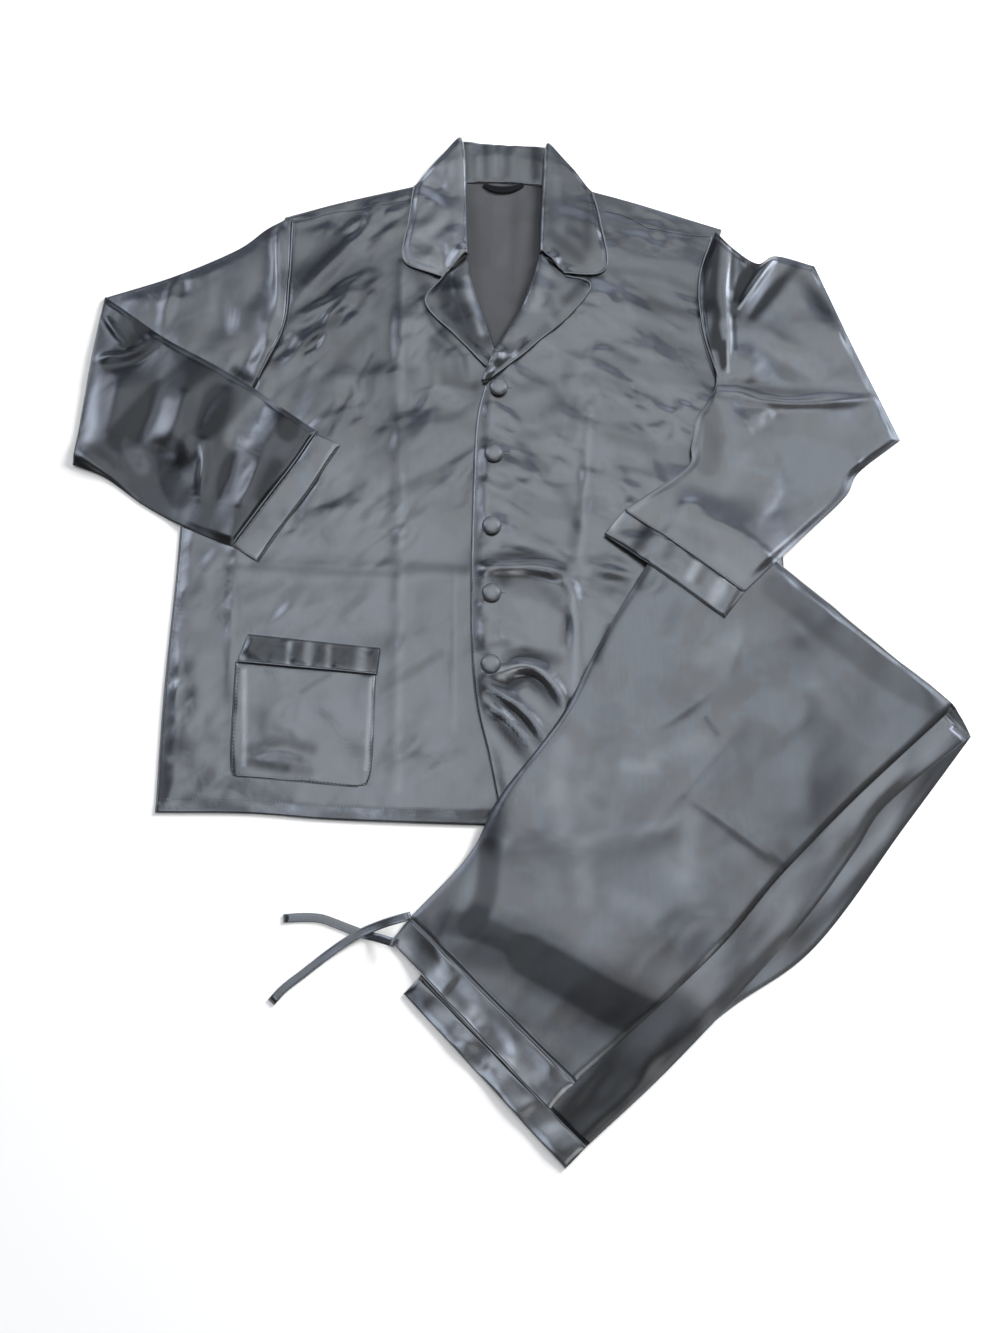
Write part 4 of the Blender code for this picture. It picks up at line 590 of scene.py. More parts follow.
# ---- Air in the flattened tubes: its height, and how far from the first and last section
# and from the sides it is less. Where a tube goes on, it isn't less.
Air = namedtuple("Air", "height first last side")
AIR_IN = {
    "upper_arm": Air(0.0022, 0.016, 0, 0.016),
    "sleeve_right": Air(0.0024, 0, 0.003, 0.008),
    "sleeve_left": Air(0.0024, 0.008, 0.055, 0.010),
    "leg_left": Air(0.0015, 0.002, 0, 0.004),
    "leg_left_below": Air(0.0012, 0, 0, 0.012),
    "leg_right_below": Air(0.0012, 0, 0, 0.012),
    "cuff_right": Air(0.0009, 0.002, 0.002, 0.004),
    "cuff_left": Air(0.0009, 0.002, 0.002, 0.004),
    "waistband": Air(0.0003, 0.002, 0.002, 0.0025),
    "hem_band": Air(0.0003, 0.002, 0.002, 0.0025),
}

# ==== Curves and grids
def smooth_line(points, count):
    """count points, evenly spaced along a smooth curve through the given ones."""
    knots = np.array(points, float)
    if len(knots) > 2:
        ends = (2 * knots[0] - knots[1], 2 * knots[-1] - knots[-2])
        knots = np.vstack([ends[0], knots, ends[1]])
        steps = np.linspace(0, 1, 24, endpoint=False)[:, None]
        dense = []
        for a, b, c, d in zip(knots, knots[1:], knots[2:], knots[3:]):
            dense.append(0.5 * (2 * b + (c - a) * steps
                                + (2 * a - 5 * b + 4 * c - d) * steps ** 2
                                + (3 * b - a - 3 * c + d) * steps ** 3))
        knots = np.vstack(dense + [knots[-2]])
    run = np.concatenate([[0], np.cumsum(np.linalg.norm(np.diff(knots, axis=0), axis=1))])
    at = np.linspace(0, run[-1], count)
    return np.stack([np.interp(at, run, knots[:, k]) for k in range(knots.shape[1])], 1)


def length_of(line):
    return np.linalg.norm(np.diff(np.array(line, float), axis=0), axis=1).sum()


def spaced(points, spacing):
    """Points along a smooth curve, about so far apart."""
    return smooth_line(points, max(3, round(length_of(points) / spacing) + 1))


def joined_line(*parts):
    """Several (points, count) curves end to end, with a corner where they meet."""
    lines = [smooth_line(points, count) for points, count in parts]
    return np.vstack([lines[0]] + [line[1:] for line in lines[1:]])


def between_edges(low, high, left, right):
    """Grid of points inside four edges. Rows run low to high, columns left to right."""
    v = np.linspace(0, 1, len(left))[:, None, None]
    u = np.linspace(0, 1, len(low))[None, :, None]
    across = (1 - u) * left[:, None] + u * right[:, None]
    along = (1 - v) * low[None] + v * high[None]
    corners = ((1 - u) * (1 - v) * low[0] + u * (1 - v) * low[-1]
               + (1 - u) * v * high[0] + u * v * high[-1])
    return across + along - corners


def panel(left, right):
    """Grid of points between two side edges, with straight ends."""
    return between_edges(smooth_line([left[0], right[0]], PANEL_COLUMNS),
                         smooth_line([left[-1], right[-1]], PANEL_COLUMNS), left, right)


def between_sections(sections, rows, columns=SLEEVE_COLUMNS):
    """Grid of points through a tube's sections, its lower edge in the first column."""
    upper = smooth_line([section.upper for section in sections], rows)
    lower = smooth_line([section.lower for section in sections], rows)
    share = np.linspace(0, 1, columns)[None, :, None]
    return (1 - share) * lower[:, None] + share * upper[:, None]


def starting_at(grid, row):
    """The grid with its first row moved to the given one, less and less further on."""
    fade = np.linspace(1, 0, len(grid))[:, None, None]
    return grid + fade * (row - grid[0])


def smooth_step(value):
    value = np.clip(value, 0, 1)
    return value * value * (3 - 2 * value)


def raised(grid, height):
    return np.concatenate([grid[..., :2], height[..., None]], axis=-1)


def edge_distances(grid):
    """Distance of each point from the grid's first and last row, first and last column."""
    along = np.linalg.norm(np.diff(grid[..., :2], axis=0), axis=-1)
    across = np.linalg.norm(np.diff(grid[..., :2], axis=1), axis=-1)
    down = np.concatenate([np.zeros((1, grid.shape[1])), np.cumsum(along, axis=0)])
    side = np.concatenate([np.zeros((grid.shape[0], 1)), np.cumsum(across, axis=1)], axis=1)
    return down, down[-1:] - down, side, side[:, -1:] - side


def normals_of(grid):
    """Unit vectors square to the grid, upwards where its rows and columns turn that way."""
    normal = np.cross(np.gradient(grid, axis=1), np.gradient(grid, axis=0))
    return normal / np.maximum(np.linalg.norm(normal, axis=-1, keepdims=True), 1e-12)


def unit(vectors):
    return vectors / np.linalg.norm(vectors, axis=-1, keepdims=True)


def outward_of(edge, inside):
    """Level unit vectors square to an edge row, pointing away from the row inside."""
    run = np.gradient(edge[:, :2], axis=0)
    side = unit(np.stack([run[:, 1], -run[:, 0]], 1))
    if ((edge - inside)[:, :2] * side).sum() < 0:
        side = -side
    return np.concatenate([side, np.zeros((len(side), 1))], axis=1)


# ==== The pile and the folds
class Pile:
    """Height of everything laid so far, on a square raster."""

    def __init__(self):
        x0, x1, y0, y1 = REACH
        self.corner = np.array((x0, y0))
        self.shape = (round((x1 - x0) / CELL), round((y1 - y0) / CELL))
        self.height = np.zeros(self.shape)

    def cells_of(self, grid):
        """Raster cells and heights that a fine sampling of the grid falls in."""
        parts = max(1, math.ceil(max(
            np.linalg.norm(np.diff(grid[..., :2], axis=axis), axis=-1).max()
            for axis in (0, 1)) / CELL * 1.3))
        for i in range(parts):
            for j in range(parts):
                u, v = j / parts, i / parts
                spot = ((1 - v) * ((1 - u) * grid[:-1, :-1] + u * grid[:-1, 1:])
                        + v * ((1 - u) * grid[1:, :-1] + u * grid[1:, 1:])).reshape(-1, 3)
                cell = np.floor((spot[:, :2] - self.corner) / CELL).astype(int)
                yield cell[:, 0], cell[:, 1], spot[:, 2]

    def cover(self, grid):
        """Raise the raster to a layer's upper side."""
        for i, j, level in self.cells_of(grid):
            np.maximum.at(self.height, (i, j), level)

    def cover_tube(self, middle, over):
        """The same for a flattened tube, whose upper half is so far over its middle."""
        self.cover(raised(middle, middle[..., 2] + over))

    def at(self, grid, raster=None):
        """Value of a raster at each point, between the centres of its cells."""
        raster = self.height if raster is None else raster
        spot = (grid[..., :2] - self.corner) / CELL - 0.5
        i, j = np.floor(spot[..., 0]).astype(int), np.floor(spot[..., 1]).astype(int)
        i, j = np.clip(i, 0, self.shape[0] - 2), np.clip(j, 0, self.shape[1] - 2)
        u, v = spot[..., 0] - i, spot[..., 1] - j
        return ((1 - u) * ((1 - v) * raster[i, j] + v * raster[i, j + 1])
                + u * ((1 - v) * raster[i + 1, j] + v * raster[i + 1, j + 1]))

    def drop(self, grid, ease=0.004, bridge=0.008, stiff=False):
        """Heights at which cloth on this grid lies over the pile, bridging its steps.

        Stiff cloth bridges them up to its own edges too.
        """
        under = np.zeros(self.shape, bool)
        flat = raised(grid, np.zeros(grid.shape[:2]))
        for i, j, _ in self.cells_of(flat):
            under[i, j] = True
        solid = widest(np.where(under, self.height, 0), round(ease / CELL))
        inside = widest(under * 1.0, round(ease / CELL)) if stiff else np.ones(self.shape)
        level = solid
        for share in (1.0, 0.7, 0.5, 0.35, 0.25):
            whole = np.clip(blurred(inside, bridge * share), 0.3, 1)
            level = np.maximum(blurred(level * inside, bridge * share) / whole, solid)
        level = np.maximum(blurred(level, ease * 0.6), 0)
        return self.at(grid, level) + AIR


def widest(raster, cells):
    """Greatest value within so many cells of each one, over a roughly round patch."""
    for axis in (0, 1):
        raster = np.max([np.roll(raster, k, axis) for k in range(-cells, cells + 1)], axis=0)
    return raster


def blurred(raster, size):
    """The raster smoothed over a distance in metres."""
    across = np.fft.fftfreq(raster.shape[0], CELL)[:, None]
    down = np.fft.rfftfreq(raster.shape[1], CELL)[None]
    keep = np.exp(-2 * (math.pi * size) ** 2 * (across ** 2 + down ** 2))
    return np.fft.irfft2(np.fft.rfft2(raster) * keep, raster.shape)


def undulation(seed, wave, stretch, angle):
    """Raster of soft uneven swells about so many metres long, of mean square 1."""
    shape = PILE.shape
    noise = np.random.default_rng(seed).standard_normal(shape)
    fx = np.fft.fftfreq(shape[0], CELL)[:, None]
    fy = np.fft.rfftfreq(shape[1], CELL)[None]
    along = math.cos(angle) * fx + math.sin(angle) * fy
    across = math.cos(angle) * fy - math.sin(angle) * fx
    rate = np.hypot(along * stretch, across) * wave
    keep = rate ** 2 * np.exp(-rate ** 2)
    swells = np.fft.irfft2(np.fft.rfft2(noise) * keep, shape)
    return np.clip(swells / swells.std(), -2.4, 2.4)


PILE = Pile()


def swells_of(grid, swell):
    """Uneven height of a piece's cloth: long swells, shorter ones, and thin crumples."""
    def swelling(number, wave, stretch=1.0):
        return undulation(swell.seed + number, swell.wave * wave, swell.stretch * stretch,
                          swell.angle)

    long, short = swelling(0, 1.0), swelling(1, 0.42)
    ripple, line = swelling(4, 0.20, 1.4), swelling(2, 0.8)
    patch = undulation(swell.seed + 3, swell.wave * 1.6, 1.0, 0.0)
    crumple = np.clip(1 - np.abs(line) / 0.34, 0, 1) ** 1.5 * np.clip(patch + 0.3, 0, 1)
    small = np.clip(0.7 + 0.5 * patch, 0.1, 1.6) * (0.36 * short + 0.13 * ripple)
    field = long + swell.fine * small
    field = PILE.at(grid, swell.height * field + swell.crumple * blurred(crumple, 0.0016))
    return field * (0.5 + 0.5 * smooth_step((grid[..., 1] - swell.calm) / 0.10))


def beside(flat, row):
    """The points near a row's line: which ones, how far away in widths, and how far along."""
    line, width = spaced(np.array(row.points) * MM, 0.006), row.width * MM
    near = np.flatnonzero(((flat > line.min(0) - 3 * width)
                           & (flat < line.max(0) + 3 * width)).all(1))
    away, place = np.full(len(near), 9.0), np.zeros(len(near))
    for k, (start, end) in enumerate(zip(line, line[1:])):
        run = end - start
        along = np.clip((flat[near] - start) @ run / (run @ run), 0, 1)
        gap = np.linalg.norm(flat[near] - start - along[:, None] * run, axis=1)
        place = np.where(gap < away, (k + along) / (len(line) - 1), place)
        away = np.minimum(away, gap)
    return near, away / width, place


def creases_of(piece, grid):
    """Height that the folds of a piece add at each point of its grid."""
    flat = grid[..., :2].reshape(-1, 2)
    height = np.zeros(len(flat))
    for crease in CREASES.get(piece, ()):
        near, away, place = beside(flat, crease)
        taper = np.sin(math.pi * np.clip(place, 0.03, 0.97)) ** 0.7
        height[near] += 1.25 * MM * crease.height * taper * np.exp(-away ** 2)
    return height.reshape(grid.shape[:2])


def shade_of(piece, grid):
    """How much painted shade a piece gets: in the troughs of its folds, and along the rows where the
    satin turns away from the light, with a painted highlight where a row's share is below 0.
    """
    flat = grid[..., :2].reshape(-1, 2)
    shade = 0.75 * smooth_step(-creases_of(piece, grid) / 0.004).ravel()
    for tone in PAINTED_SHADES.get(piece, ()):
        near, away, _ = beside(flat, tone)
        shade[near] += tone.share * np.exp(-away ** (2.5 if tone.width < 10 else 6))
    return shade.reshape(grid.shape[:2])


def lifted(height):
    """Heights that bend softly near nothing and never fall below it."""
    return BEND * (np.logaddexp(0, height / BEND) - math.log(2))


# ==== Meshes
def layout_shift():
    """From layout points to the row frame, found from where the back lies."""
    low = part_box("back")[0]
    corner = back_grid(0.01).reshape(-1, 2).min(0)
    return np.array((low.x - corner[0], low.y - corner[1], 0.0))


def grid_quads(rows, columns, closed=False, start=0):
    """Quads of a grid, whose last column joins the first when it is closed."""
    i = np.arange(rows - 1)[:, None] * columns
    j = np.arange(columns if closed else columns - 1)[None]
    k = (j + 1) % columns
    quads = np.stack([i + j, i + k, i + columns + k, i + columns + j], -1)
    return quads.reshape(-1, 4) + start


def new_piece(name, points, quads, material):
    """A mesh of four-sided faces, in the row frame, with smooth shading."""
    mesh = bpy.data.meshes.new(name)
    points = points.reshape(-1, 3) + layout_shift()
    mesh.vertices.add(len(points))
    mesh.vertices.foreach_set("co", points.ravel())
    mesh.loops.add(quads.size)
    mesh.loops.foreach_set("vertex_index", quads.ravel().astype(np.int32))
    mesh.polygons.add(len(quads))
    mesh.polygons.foreach_set("loop_start", np.arange(0, quads.size, 4, dtype=np.int32))
    mesh.polygons.foreach_set("use_smooth", np.ones(len(quads), bool))
    mesh.update(calc_edges=True)
    mesh.validate()
    mesh.materials.append(material)
    obj = bpy.data.objects.new(name, mesh)
    bpy.context.scene.collection.objects.link(obj)
    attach(obj, "root")
    return obj


def paint_shade(piece, share):
    """Store painted shade in a piece's shade attribute: darker in folds and where the satin turns from
    the light, with painted highlights below 0.
    """
    layer = piece.data.attributes.new("shade", "FLOAT", "POINT")
    values = np.resize(np.asarray(share, np.float32).ravel(), len(piece.data.vertices))
    layer.data.foreach_set("value", np.clip(values, -0.95, 0.95).astype(np.float32))


def facing_up(grid):
    """The grid with its rows in the order that turns its first faces upwards."""
    one, other = grid[0, 1] - grid[0, 0], grid[1, 0] - grid[0, 0]
    return grid if one[0] * other[1] > one[1] * other[0] else grid[::-1]


def shell(name, under, wall, material, shade):
    """Thin cloth on a grid, thickened to its upper side. wall may differ from point to point."""
    over = under + normals_of(under) * np.broadcast_to(wall, under.shape[:2])[..., None]
    rows, columns = under.shape[:2]
    count = rows * columns
    rim = np.concatenate([
        np.arange(columns),
        np.arange(1, rows) * columns + columns - 1,
        (rows - 1) * columns + np.arange(columns - 2, -1, -1),
        np.arange(rows - 2, 0, -1) * columns])
    following = np.roll(rim, -1)
    sides = np.stack([rim, following, following + count, rim + count], 1)
    quads = np.concatenate([grid_quads(rows, columns, start=count),
                            grid_quads(rows, columns)[:, ::-1], sides])
    points = np.concatenate([under.reshape(-1, 3), over.reshape(-1, 3)])
    piece = new_piece(name, points, quads, material)
    paint_shade(piece, shade)
    return piece, over


def flat_tube(name, middle, up, over, under, wall, material, shade):
    """A hollow flattened tube: over and under are its halves' distances from the middle."""
    arcs = [math.radians(angle) for angle in (40, 75, 105, 140)]
    first, last = unit(middle[:, 0] - middle[:, 1]), unit(middle[:, -1] - middle[:, -2])

    def rim(k, outward, inset, arcs):
        half = np.maximum((over[:, k] + under[:, k]) / 2 - inset, THINNEST)[:, None]
        return np.stack([middle[:, k] + half * (math.cos(a) * up[:, k] + math.sin(a) * outward)
                         for a in arcs], 1)

    def rings(inset):
        upper = middle + np.maximum(over - inset, THINNEST)[..., None] * up
        lower = middle - np.maximum(under - inset, THINNEST)[..., None] * up
        return np.concatenate([upper, rim(-1, last, inset, arcs), lower[:, ::-1],
                               rim(0, first, inset, arcs[::-1])], axis=1)

    outer, inner = rings(0), rings(wall)
    rows, columns = outer.shape[:2]
    count, end = rows * columns, (rows - 1) * columns
    j = np.arange(columns)
    k = (j + 1) % columns
    skin = grid_quads(rows, columns, closed=True)
    quads = np.concatenate([skin[:, ::-1], skin + count,
                            np.stack([j, k, count + k, count + j], 1),
                            np.stack([end + k, end + j, count + end + j, count + end + k], 1)])
    points = np.concatenate([outer.reshape(-1, 3), inner.reshape(-1, 3)])
    corners = points[quads]
    volume = (np.cross(corners[:, 0], corners[:, 1]) * corners[:, 2]).sum()
    volume += (np.cross(corners[:, 0], corners[:, 2]) * corners[:, 3]).sum()
    if volume < 0:
        quads = quads[:, ::-1]
    piece = new_piece(name, points, quads, material)
    side = np.broadcast_to(shade, over.shape)
    ends = [np.repeat(side[:, [k]], len(arcs), axis=1) for k in (-1, 0)]
    paint_shade(piece, np.concatenate([side, ends[0], side[:, ::-1], ends[1]], axis=1))
    return piece


def round_fold(over, under, outward):
    """Half-round rows between the end rows of two runs, bulging outwards."""
    middle, half = (over + under) / 2, (over - under) / 2
    bulge = np.minimum(half[:, 2], WIDEST_FOLD)[:, None] * outward
    return np.stack([middle + math.cos(a) * half + math.sin(a) * bulge for a in FOLD_ANGLES])


def turning_over(before, outward, after):
    """Directions square to so many rows before a fold, to the fold's own, and after it."""
    level = np.tile(UP, (len(outward), 1))
    turns = [math.cos(a) * level + math.sin(a) * outward for a in FOLD_ANGLES]
    return np.stack([level] * before + turns + [-level] * after)


def end_caps(rows, columns):
    """Quads that close a tube at its first and last ring."""
    half = columns // 2 - 1
    caps = np.array([(start + j, start + j + 1, start + columns - 2 - j, start + columns - 1 - j)
                     for start in (0, (rows - 1) * columns) for j in range(half)])
    caps[:half] = caps[:half, ::-1]
    return caps


def cord_along(points, radius, sides):
    """Points and quads of a thin round cord, narrower at both ends."""
    points = np.array(points, float)
    run = unit(np.gradient(points, axis=0))
    side = np.cross(run, UP)
    side /= np.maximum(np.linalg.norm(side, axis=1)[:, None], 1e-9)
    rise = np.cross(side, run)
    turn = np.linspace(0, 2 * math.pi, sides, endpoint=False)
    radii = np.full(len(points), radius)
    radii[[0, -1]] *= 0.35
    rings = (points[:, None]
             + radii[:, None, None] * (np.cos(turn)[None, :, None] * side[:, None]
                                       + np.sin(turn)[None, :, None] * rise[:, None]))
    return rings.reshape(-1, 3), grid_quads(len(points), sides, closed=True)


def joined_cords(name, lines, radius, material, sides=6):
    """One piece of several thin cords, such as a piping or a row of stitches."""
    points, quads, count = [], [], 0
    for line in lines:
        cord, faces = cord_along(line, radius, sides)
        points.append(cord)
        quads.append(faces + count)
        count += len(cord)
    return new_piece(name, np.concatenate(points), np.concatenate(quads), material)


def on_the_pile(line, clear):
    """A layout line laid on the pile, so far above it."""
    line = np.array(line, float)[:, :2]
    return np.column_stack([line, PILE.at(line) + clear])


def stitch_lines(line, step=0.0034, length=0.0023, clear=0.00012):
    """Short stitches along a layout line, each lying on the pile."""
    count = max(2, int(length_of(line) / step))
    starts = smooth_line(line, count)
    run = unit(np.gradient(starts, axis=0))
    stitches = []
    for start, way in zip(starts, run):
        ends = [start, start + way * length / 2, start + way * length]
        stitches.append(on_the_pile(ends, clear))
    return stitches


def cut(node, row=None):
    """Hide the part that a piece of cloth stands for. Its cut area is worked out from its row and not
    used.
    """
    row = row or CUTS[node]
    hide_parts(node)
    row.width * row.length * row.share


def lay_sheet(node, under, wall, slot, ending="_cloth"):
    """Make a sheet that stands for a node, and add it to the pile."""
    piece, over = shell(node + ending, under, wall, finish(slot), shade_of(node, under))
    PILE.cover(over)
    cut(node)


def lay_tube(node, middle, over, wall, slot):
    """Make a level flattened tube that stands for a node, and add it to the pile."""
    tube = flat_tube(node + "_cloth", middle, np.tile(UP, (*over.shape, 1)), over,
                     np.full(over.shape, EDGE), wall, finish(slot), shade_of(node, middle))
    PILE.cover_tube(middle, over)
    cut(node)


# ==== Finishes
class Value:
    """A number from a node's socket. Operators on it add Math nodes."""

    def __init__(self, shader, socket):
        self.shader = shader
        self.socket = socket

    def maths(self, operation, *values):
        return self.shader.number("ShaderNodeMath", {"operation": operation},
                                  dict(enumerate(values)), 0)

    def __add__(self, other):
        return self.maths("ADD", self, other)

    def __sub__(self, other):
        return self.maths("SUBTRACT", self, other)

    def __mul__(self, other):
        return self.maths("MULTIPLY", self, other)

    def __radd__(self, other):
        return self.maths("ADD", other, self)

    def __rsub__(self, other):
        return self.maths("SUBTRACT", other, self)

    def __rmul__(self, other):
        return self.maths("MULTIPLY", other, self)

    def between(self, low, high):
        """0 at low, 1 at high, and a smooth step from one to the other."""
        return self.shader.number("ShaderNodeMapRange", {"interpolation_type": "SMOOTHSTEP"},
                                  {"Value": self, "From Min": low, "From Max": high}, 0)


class Shader:
    """The node tree of a material or of the world."""

    def __init__(self, owner):
        owner.use_nodes = True
        self.tree = owner.node_tree
        self.tree.nodes.clear()

    def node(self, kind, settings, sockets):
        """Add a node: its settings first, then the values or links of its sockets."""
        node = self.tree.nodes.new(kind)
        for key, value in settings.items():
            setattr(node, key, value)
        for key, value in sockets.items():
            if isinstance(value, Value):
                value = value.socket
            if isinstance(value, bpy.types.NodeSocket):
                self.tree.links.new(value, node.inputs[key])
            else:
                node.inputs[key].default_value = value
        return node

    def number(self, kind, settings, sockets, output="Fac"):
        """The number that a new node gives."""
        return Value(self, self.node(kind, settings, sockets).outputs[output])

    def along(self, vector, way):
        """How far a vector goes one way."""
        return self.number("ShaderNodeVectorMath", {"operation": "DOT_PRODUCT"},
                           {0: vector, 1: tuple(way)}, "Value")

    def mixed(self, share, one, other):
        """Colour between two, at a share from 0 to 1."""
        return self.node("ShaderNodeMix", {"data_type": "RGBA"},
                         {0: share, 6: one, 7: other}).outputs[2]


def coloured(colour, factor):
    """The colour made lighter or darker, as four numbers."""
    return tuple(min(1.0, c * factor) for c in colour[:3]) + (1.0,)


def tinted(colour, factor, warmth):
    """The colour made lighter or darker, and warmer or cooler."""
    red, green, blue = colour[:3]
    return coloured((red * (1 + warmth), green, blue * (1 - warmth)), factor)


DARKEST, LIGHTEST = 0.22, 1.9     # times the cloth's colour, at full painted shade and at full painted highlight

# Blotch is how far patches are lighter and darker, and tint how far they are warmer and
# cooler. Crumple and weave are the heights of small creases and of the threads.
Finish = namedtuple("Finish", "colour roughness metallic blotch tint crumple weave")


def cloth_finish(name, cloth):
    """Woven cloth: uneven sheen, painted shade and highlights, small crumples, and a fine weave in its
    surface.
    """
    colour = cloth.colour
    material = bpy.data.materials.new(name)
    shader = Shader(material)
    place = shader.node("ShaderNodeTexCoord", {}, {}).outputs["Object"]
    swell = shader.number("ShaderNodeTexNoise", {}, {
        "Vector": place, "Scale": 20.0, "Detail": 3.0, "Roughness": 0.5, "Distortion": 0.5})
    small = shader.number("ShaderNodeTexNoise", {}, {
        "Vector": place, "Scale": 22.0, "Detail": 3.0, "Roughness": 0.55, "Distortion": 1.2})
    turned = shader.node("ShaderNodeMapping", {}, {
        "Vector": place, "Rotation": (0.0, 0.0, 0.66)}).outputs[0]
    threads = shader.number("ShaderNodeTexWave", {"wave_type": "BANDS", "bands_direction": "X"}, {
        "Vector": turned, "Scale": 420.0, "Distortion": 1.2, "Detail": 1.0, "Detail Scale": 2.0})
    drawn_out = shader.node("ShaderNodeMapping", {}, {
        "Vector": place, "Scale": (480.0, 36.0, 60.0)}).outputs[0]
    streaks = shader.number("ShaderNodeTexNoise", {}, {
        "Vector": drawn_out, "Scale": 1.0, "Detail": 1.0})
    uneven = swell.between(0.42, 0.58) * 0.75 + streaks.between(0.3, 0.7) * 0.25
    # Painted shade and painted highlights, read from the shade attribute, darken or lighten the colour.
    shade = shader.number("ShaderNodeAttribute", {"attribute_name": "shade"}, {})
    tone = shader.mixed(uneven, tinted(colour, 1.0 - cloth.blotch, cloth.tint),
                        tinted(colour, 1.0 + cloth.blotch, -cloth.tint))
    tone = shader.mixed(shade, tone, coloured(colour, DARKEST))
    tone = shader.mixed(-1.0 * shade, tone, coloured(colour, LIGHTEST))
    swollen = shader.node("ShaderNodeBump", {},
                          {"Strength": 1.0, "Distance": cloth.crumple, "Height": small})
    woven = shader.node("ShaderNodeBump", {},
                        {"Strength": 0.35, "Distance": cloth.weave, "Height": threads,
                         "Normal": swollen.outputs[0]})
    surface = shader.node("ShaderNodeBsdfPrincipled", {}, {
        "Base Color": tone, "Roughness": cloth.roughness + 0.08 * (small - 0.5),
        "Metallic": cloth.metallic, "Normal": woven.outputs[0], "Sheen Weight": 0.05,
        "Sheen Roughness": 0.4})
    shader.node("ShaderNodeOutputMaterial", {}, {"Surface": surface.outputs[0]})
    material.diffuse_color = coloured(colour, 1.0)
    return material


def finish(slot):
    """The material of a slot, made once."""
    name = slot + "_finish"
    if name in bpy.data.materials:
        return bpy.data.materials[name]
    cloth = bpy.context.scene.pyjama_cloth
    satin, piping = tuple(cloth.satin_colour), tuple(cloth.piping_colour)
    inside, ribbon = tuple(cloth.inside_colour), tuple(cloth.ribbon_colour)
    lustre, rough = cloth.metallic, cloth.roughness
    rows = {
        "satin": Finish(satin, rough, lustre, 0.05, 0.012, 0.0005, 0.00004),
        "satin_pressed": Finish(satin, rough, lustre, 0.075, 0.03, 0.00015, 0.00004),
        "satin_band": Finish(coloured(satin, 1.10), rough - 0.04, lustre, 0.05, 0.02, 0.0001,
                             0.00004),
        "satin_inside": Finish(inside, 0.60, 0.05, 0.08, 0.0, 0.0005, 0.00005),
        "covered_button": Finish(satin, 0.40, 0.85, 0.06, 0.0, 0.0001, 0.00003),
        "ribbon": Finish(ribbon, 0.50, 0.90, 0.05, 0.0, 0.0001, 0.00006),
        "piping": Finish(piping, 0.40, 0.60, 0.10, 0.0, 0.0001, 0.00003),
        "thread": Finish(coloured(piping, 0.7), 0.50, 0.10, 0.05, 0.0, 0.0001, 0.00003),
    }
    return cloth_finish(name, rows[slot])


# ==== Settings
def colour_setting(name, description, default):
    return bpy.props.FloatVectorProperty(name=name, description=description, subtype="COLOR",
                                         size=3, min=0.0, max=1.0, default=default)


def length_setting(name, description, default, least, most):
    return bpy.props.FloatProperty(name=name, description=description, default=default,
                                   min=least, max=most, unit="LENGTH")


def share_setting(name, description, default, least, most):
    return bpy.props.FloatProperty(name=name, description=description, default=default,
                                   min=least, max=most, subtype="FACTOR")


class ClothSettings(bpy.types.PropertyGroup):
    """Sizes and colours of the cloth."""

    satin_colour: colour_setting("Satin", "Colour of the satin's right side",
                                 (0.186, 0.198, 0.212))
    inside_colour: colour_setting("Inside", "Colour of the satin's wrong side",
                                  (0.050, 0.052, 0.056))
    piping_colour: colour_setting("Piping", "Colour of the piped edges",
                                  (0.195, 0.208, 0.226))
    ribbon_colour: colour_setting("Ribbon", "Colour of the hanging loop",
                                  (0.016, 0.017, 0.020))
    roughness: share_setting("Roughness", "How far the satin blurs what it reflects",
                             0.25, 0.05, 1.0)
    metallic: share_setting("Lustre", "Share of the satin's light that is mirrored in its colour",
                            0.93, 0.0, 1.0)
    wall: length_setting("Cloth", "Thickness of one layer of cloth", 0.0006, 0.0002, 0.002)
    spacing: length_setting("Spacing", "Distance between the points of the fronts' mesh",
                            0.0027, 0.002, 0.02)
    lift: length_setting("Air", "How high a front's cloth stands over the layer below it",
                         0.0022, 0.0, 0.01)
    swell: length_setting("Swell", "Height of the fronts' uneven swells", 0.0011, 0.0, 0.005)


class TrimSettings(bpy.types.PropertyGroup):
    """Sizes of the buttons, the drawstring and the piping."""

    button_radius: length_setting("Button radius", "Half the width of a covered button",
                                  0.010, 0.004, 0.02)
    button_height: length_setting("Button height", "Height of a covered button",
                                  0.0048, 0.001, 0.01)
    tape_width: length_setting("Drawstring width", "Width of the drawstring tape",
                               0.008, 0.003, 0.02)
    tape_thickness: length_setting("Drawstring thickness", "Thickness of the drawstring tape",
                                   0.0014, 0.0005, 0.004)
    piping: length_setting("Piping", "Half the width of the piped edges",
                           0.0008, 0.0003, 0.003)


class StageSettings(bpy.types.PropertyGroup):
    """Floor, light and camera."""

    floor_colour: colour_setting("Floor", "Colour of the floor", (0.84, 0.833, 0.815))
    key_power: bpy.props.FloatProperty(
        name="Key light", description="Power of the soft light from the upper right",
        default=105.0, min=0.0, unit="POWER")
    fill_power: bpy.props.FloatProperty(
        name="Fill light", description="Power of the wide light overhead",
        default=20.0, min=0.0, unit="POWER")
    dome_strength: bpy.props.FloatProperty(
        name="Dome", description="Strength of the light from all round",
        default=1.0, min=0.0, subtype="FACTOR")
    camera_height: bpy.props.FloatProperty(
        name="Camera height", description="Height of the camera above the floor",
        default=0.9602, min=0.3, unit="LENGTH")


